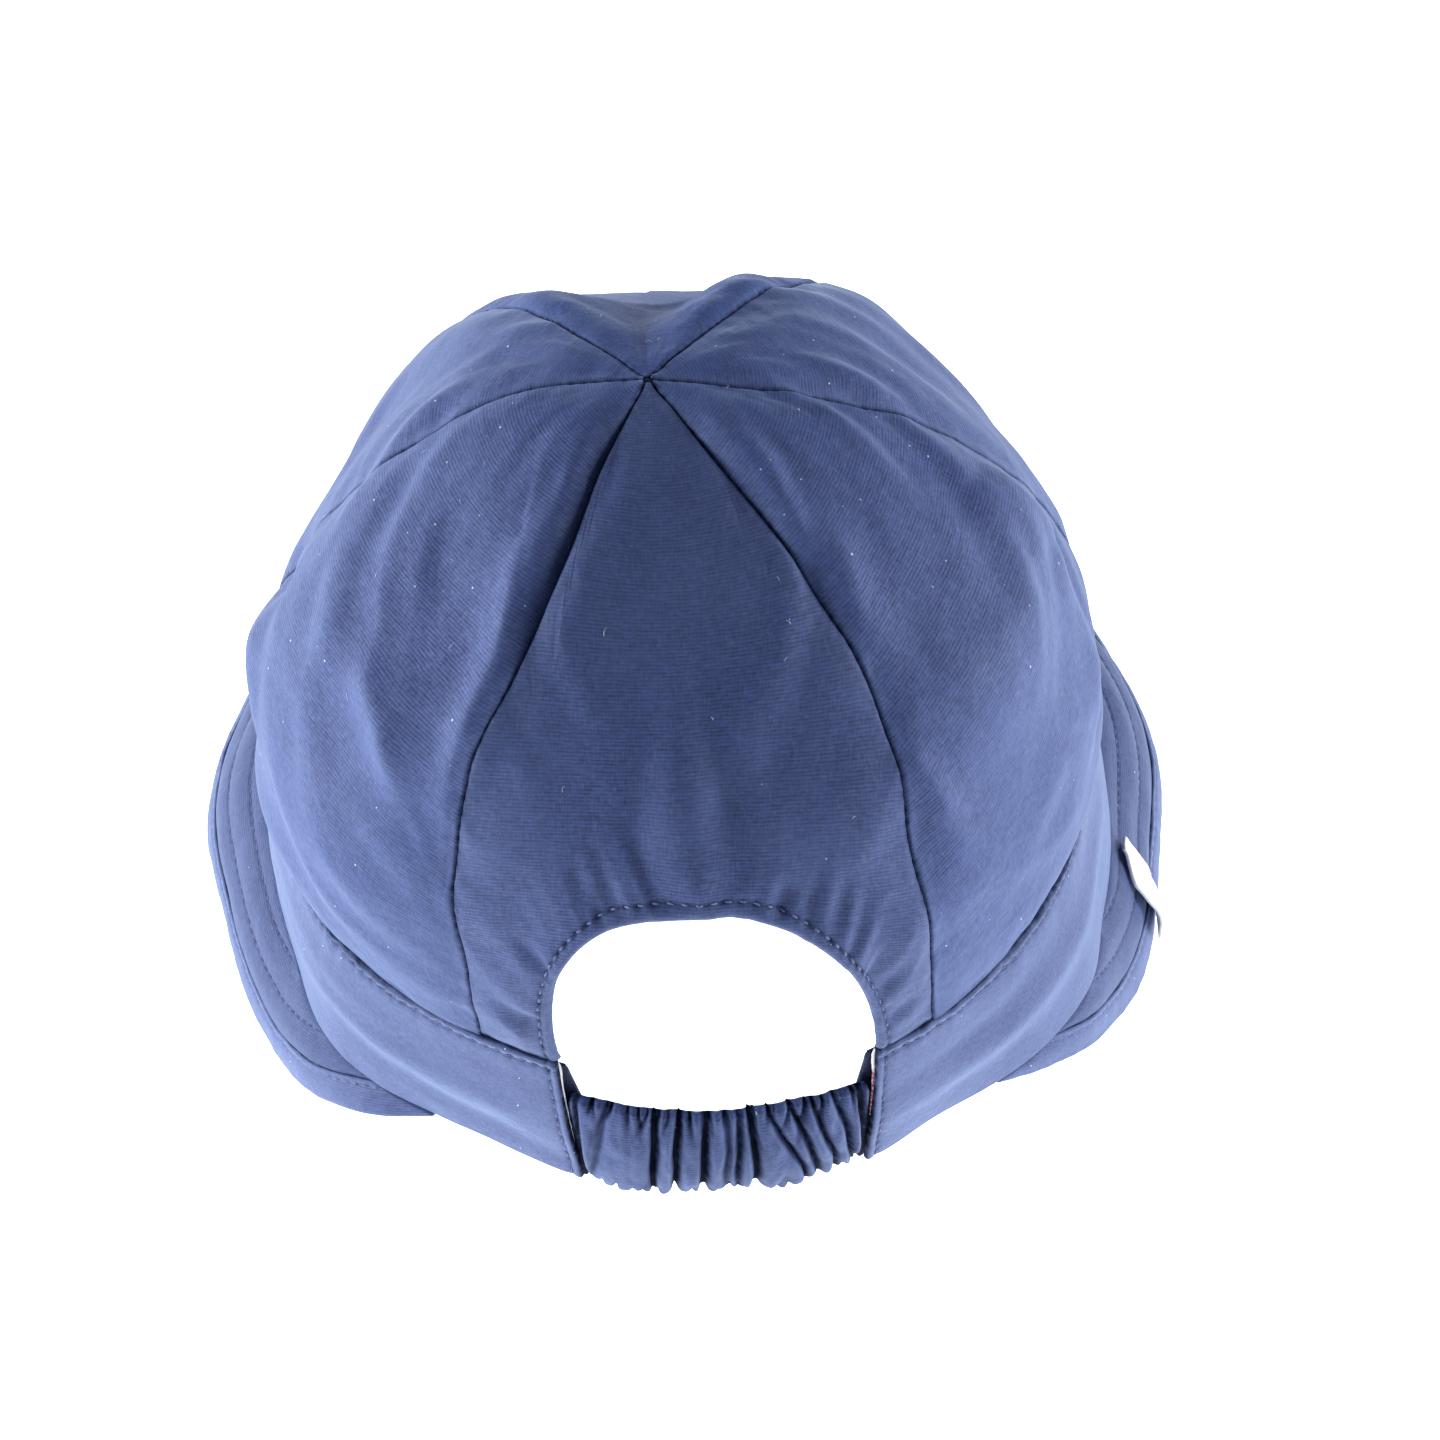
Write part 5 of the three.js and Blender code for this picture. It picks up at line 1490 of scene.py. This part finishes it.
class SUNCAP_OT_lint(Operator):
    """Scatters a few short loose fibres over the crown"""
    bl_idname = "suncap.lint"
    bl_label = "Lint"

    def execute(self, context):
        form = CapForm(context.scene.cap_sizes)
        rng = np.random.default_rng(8)
        verts, faces = [], []
        sides = np.linspace(0, 2 * np.pi, 5)[:-1]
        for _ in range(form.lint_count):
            turn, along = rng.uniform(0, 360), rng.uniform(0.02, 0.9)
            if abs(turn_from(0, turn)) < 26 and along < 0.36:
                along += 0.36
            length, bend = rng.uniform(0.5, 2.1), rng.uniform(-2.0, 2.0)
            heading = rng.uniform(0, 2 * np.pi)
            steps = np.linspace(0, 1, 9)
            headings = heading + bend * steps
            u = np.r_[0, np.cumsum(np.cos(headings[1:]) * length / 8)]
            v = np.r_[0, np.cumsum(np.sin(headings[1:]) * length / 8)]
            radius = max(float(form.radius_along(along)) * form.foot_radius, 8)
            lift = cloth_ripple(turn, along, form) + 0.1 + 0.25 * np.sin(np.pi * steps)
            path = form.crown(turn + np.degrees(u / radius), along + v / form.profile_length, lift)
            ahead = np.gradient(path, axis=0)
            ahead /= np.linalg.norm(ahead, axis=1, keepdims=True)
            side = np.cross(ahead, np.array([0.3, 0.2, 0.93]))
            side /= np.maximum(np.linalg.norm(side, axis=1, keepdims=True), 1e-6)
            up = np.cross(side, ahead)
            thick = 0.03 * np.sqrt(np.clip(np.sin(np.pi * (0.04 + 0.92 * steps)), 0.1, 1))
            ring = (path[:, None] + side[:, None] * (np.cos(sides)[None, :] * thick[:, None])[..., None]
                    + up[:, None] * (np.sin(sides)[None, :] * thick[:, None])[..., None])
            points = len(steps) * len(sides)
            index = len(verts) * points + np.arange(points).reshape(len(steps), len(sides))
            following = np.roll(index, -1, axis=1)
            faces.append(np.stack([index[:-1], following[:-1], following[1:], index[1:]], -1).reshape(-1, 4))
            faces.append(np.array([index[0, ::-1], index[-1]]))
            verts.append(ring.reshape(-1, 3))
        fibre = thread("lint_fibre", (0.66, 0.7, 0.78))
        piece = mesh_piece("lint", np.concatenate(verts) * MM, np.concatenate(faces), fibre)
        seat(piece, "crown_cloth")
        return {"FINISHED"}


def area_light(name, place, size, power):
    """A soft round light that is aimed at the cap."""
    data = bpy.data.lights.new(name, "AREA")
    data.shape, data.size, data.energy = "DISK", size, power
    light = bpy.data.objects.new(name, data)
    light.location = place
    light.rotation_euler = (Vector(LIGHT_AIM) - Vector(place)).to_track_quat("-Z", "Y").to_euler()
    bpy.context.scene.collection.objects.link(light)


class SUNCAP_OT_stage(Operator):
    """Sets the pale floor, the soft light and the camera"""
    bl_idname = "suncap.stage"
    bl_label = "Stage"

    def execute(self, context):
        look = context.scene.stage_look
        self.floor(look)
        world = bpy.data.worlds.new("studio")
        context.scene.world = world
        world.use_nodes = True
        world.node_tree.nodes["Background"].inputs[0].default_value = SKY_COLOUR
        world.node_tree.nodes["Background"].inputs[1].default_value = SKY_STRENGTH
        context.scene.view_settings.view_transform = "Standard"
        for name, (place, size, power) in LIGHTS.items():
            area_light(name, place, size, power)
        self.camera(context, look)
        return {"FINISHED"}

    def floor(self, look):
        verts = np.array([(-1, -1, 0), (1, -1, 0), (1, 1, 0), (-1, 1, 0)], float) * FLOOR_HALF_SIZE
        n = Nodes("studio_floor")
        grain = n.noise(n.add("ShaderNodeTexCoord").outputs["Object"], scale=3.0)
        colour = list(look.floor_colour)
        tone = n.mix(n.spread(grain, 0.3, 0.7), [c * 0.985 for c in colour], colour)
        n.link(tone, n.shader.inputs["Base Color"])
        n.shader.inputs["Roughness"].default_value = 0.9
        n.shader.inputs["Specular IOR Level"].default_value = 0.1
        n.shader.inputs["Emission Color"].default_value = (*colour, 1)
        n.shader.inputs["Emission Strength"].default_value = FLOOR_GLOW
        mesh_piece("floor", verts, np.array([[0, 1, 2, 3]]), n.material)

    def camera(self, context, look):
        target = Vector((AXIS_X, AXIS_Y, AIM_HEIGHT)) * MM
        turn, height = look.camera_turn, look.camera_height
        back = Vector((np.sin(turn) * np.cos(height), np.cos(turn) * np.cos(height), np.sin(height)))
        data = bpy.data.cameras.new("camera")
        data.lens, data.sensor_width = look.focal_length, SENSOR_WIDTH
        data.shift_x, data.shift_y = (shift / FRAME_PIXELS for shift in FRAME_SHIFT)
        data.clip_start, data.clip_end = 0.01, 20
        camera = bpy.data.objects.new("camera", data)
        camera.location = target + back * look.camera_distance
        camera.rotation_euler = (-back).to_track_quat("-Z", "Y").to_euler()
        context.scene.collection.objects.link(camera)
        context.scene.camera = camera


class SUNCAP_PT_sidebar(Panel):
    """Lists the cap's pieces, sizes and colours"""
    bl_idname = "SUNCAP_PT_sidebar"
    bl_label = "Peaked sun cap"
    bl_space_type = "VIEW_3D"
    bl_region_type = "UI"
    bl_category = "Sun Cap"

    def draw(self, context):
        layout = self.layout
        for operator in PIECE_OPERATORS:
            layout.operator(operator.bl_idname)
        for group in (context.scene.cap_sizes, context.scene.cap_colours, context.scene.stage_look):
            box = layout.box()
            for name in group.__annotations__:
                box.prop(group, name)


PIECE_OPERATORS = (SUNCAP_OT_crown, SUNCAP_OT_band, SUNCAP_OT_strap, SUNCAP_OT_brim, SUNCAP_OT_tapes,
                   SUNCAP_OT_label, SUNCAP_OT_lint, SUNCAP_OT_stage)
CLASSES = (CapSizes, CapColours, StageLook) + PIECE_OPERATORS + (SUNCAP_PT_sidebar,)


def register():
    for each in CLASSES:
        bpy.utils.register_class(each)
    bpy.types.Scene.cap_sizes = PointerProperty(type=CapSizes)
    bpy.types.Scene.cap_colours = PointerProperty(type=CapColours)
    bpy.types.Scene.stage_look = PointerProperty(type=StageLook)


def unregister():
    for name in ("stage_look", "cap_colours", "cap_sizes"):
        delattr(bpy.types.Scene, name)
    for each in reversed(CLASSES):
        bpy.utils.unregister_class(each)


def main():
    register()
    for operator in (bpy.ops.suncap.crown, bpy.ops.suncap.band, bpy.ops.suncap.strap, bpy.ops.suncap.brim,
                     bpy.ops.suncap.tapes, bpy.ops.suncap.label, bpy.ops.suncap.lint, bpy.ops.suncap.stage):
        operator()


if __name__ == "__main__":
    main()
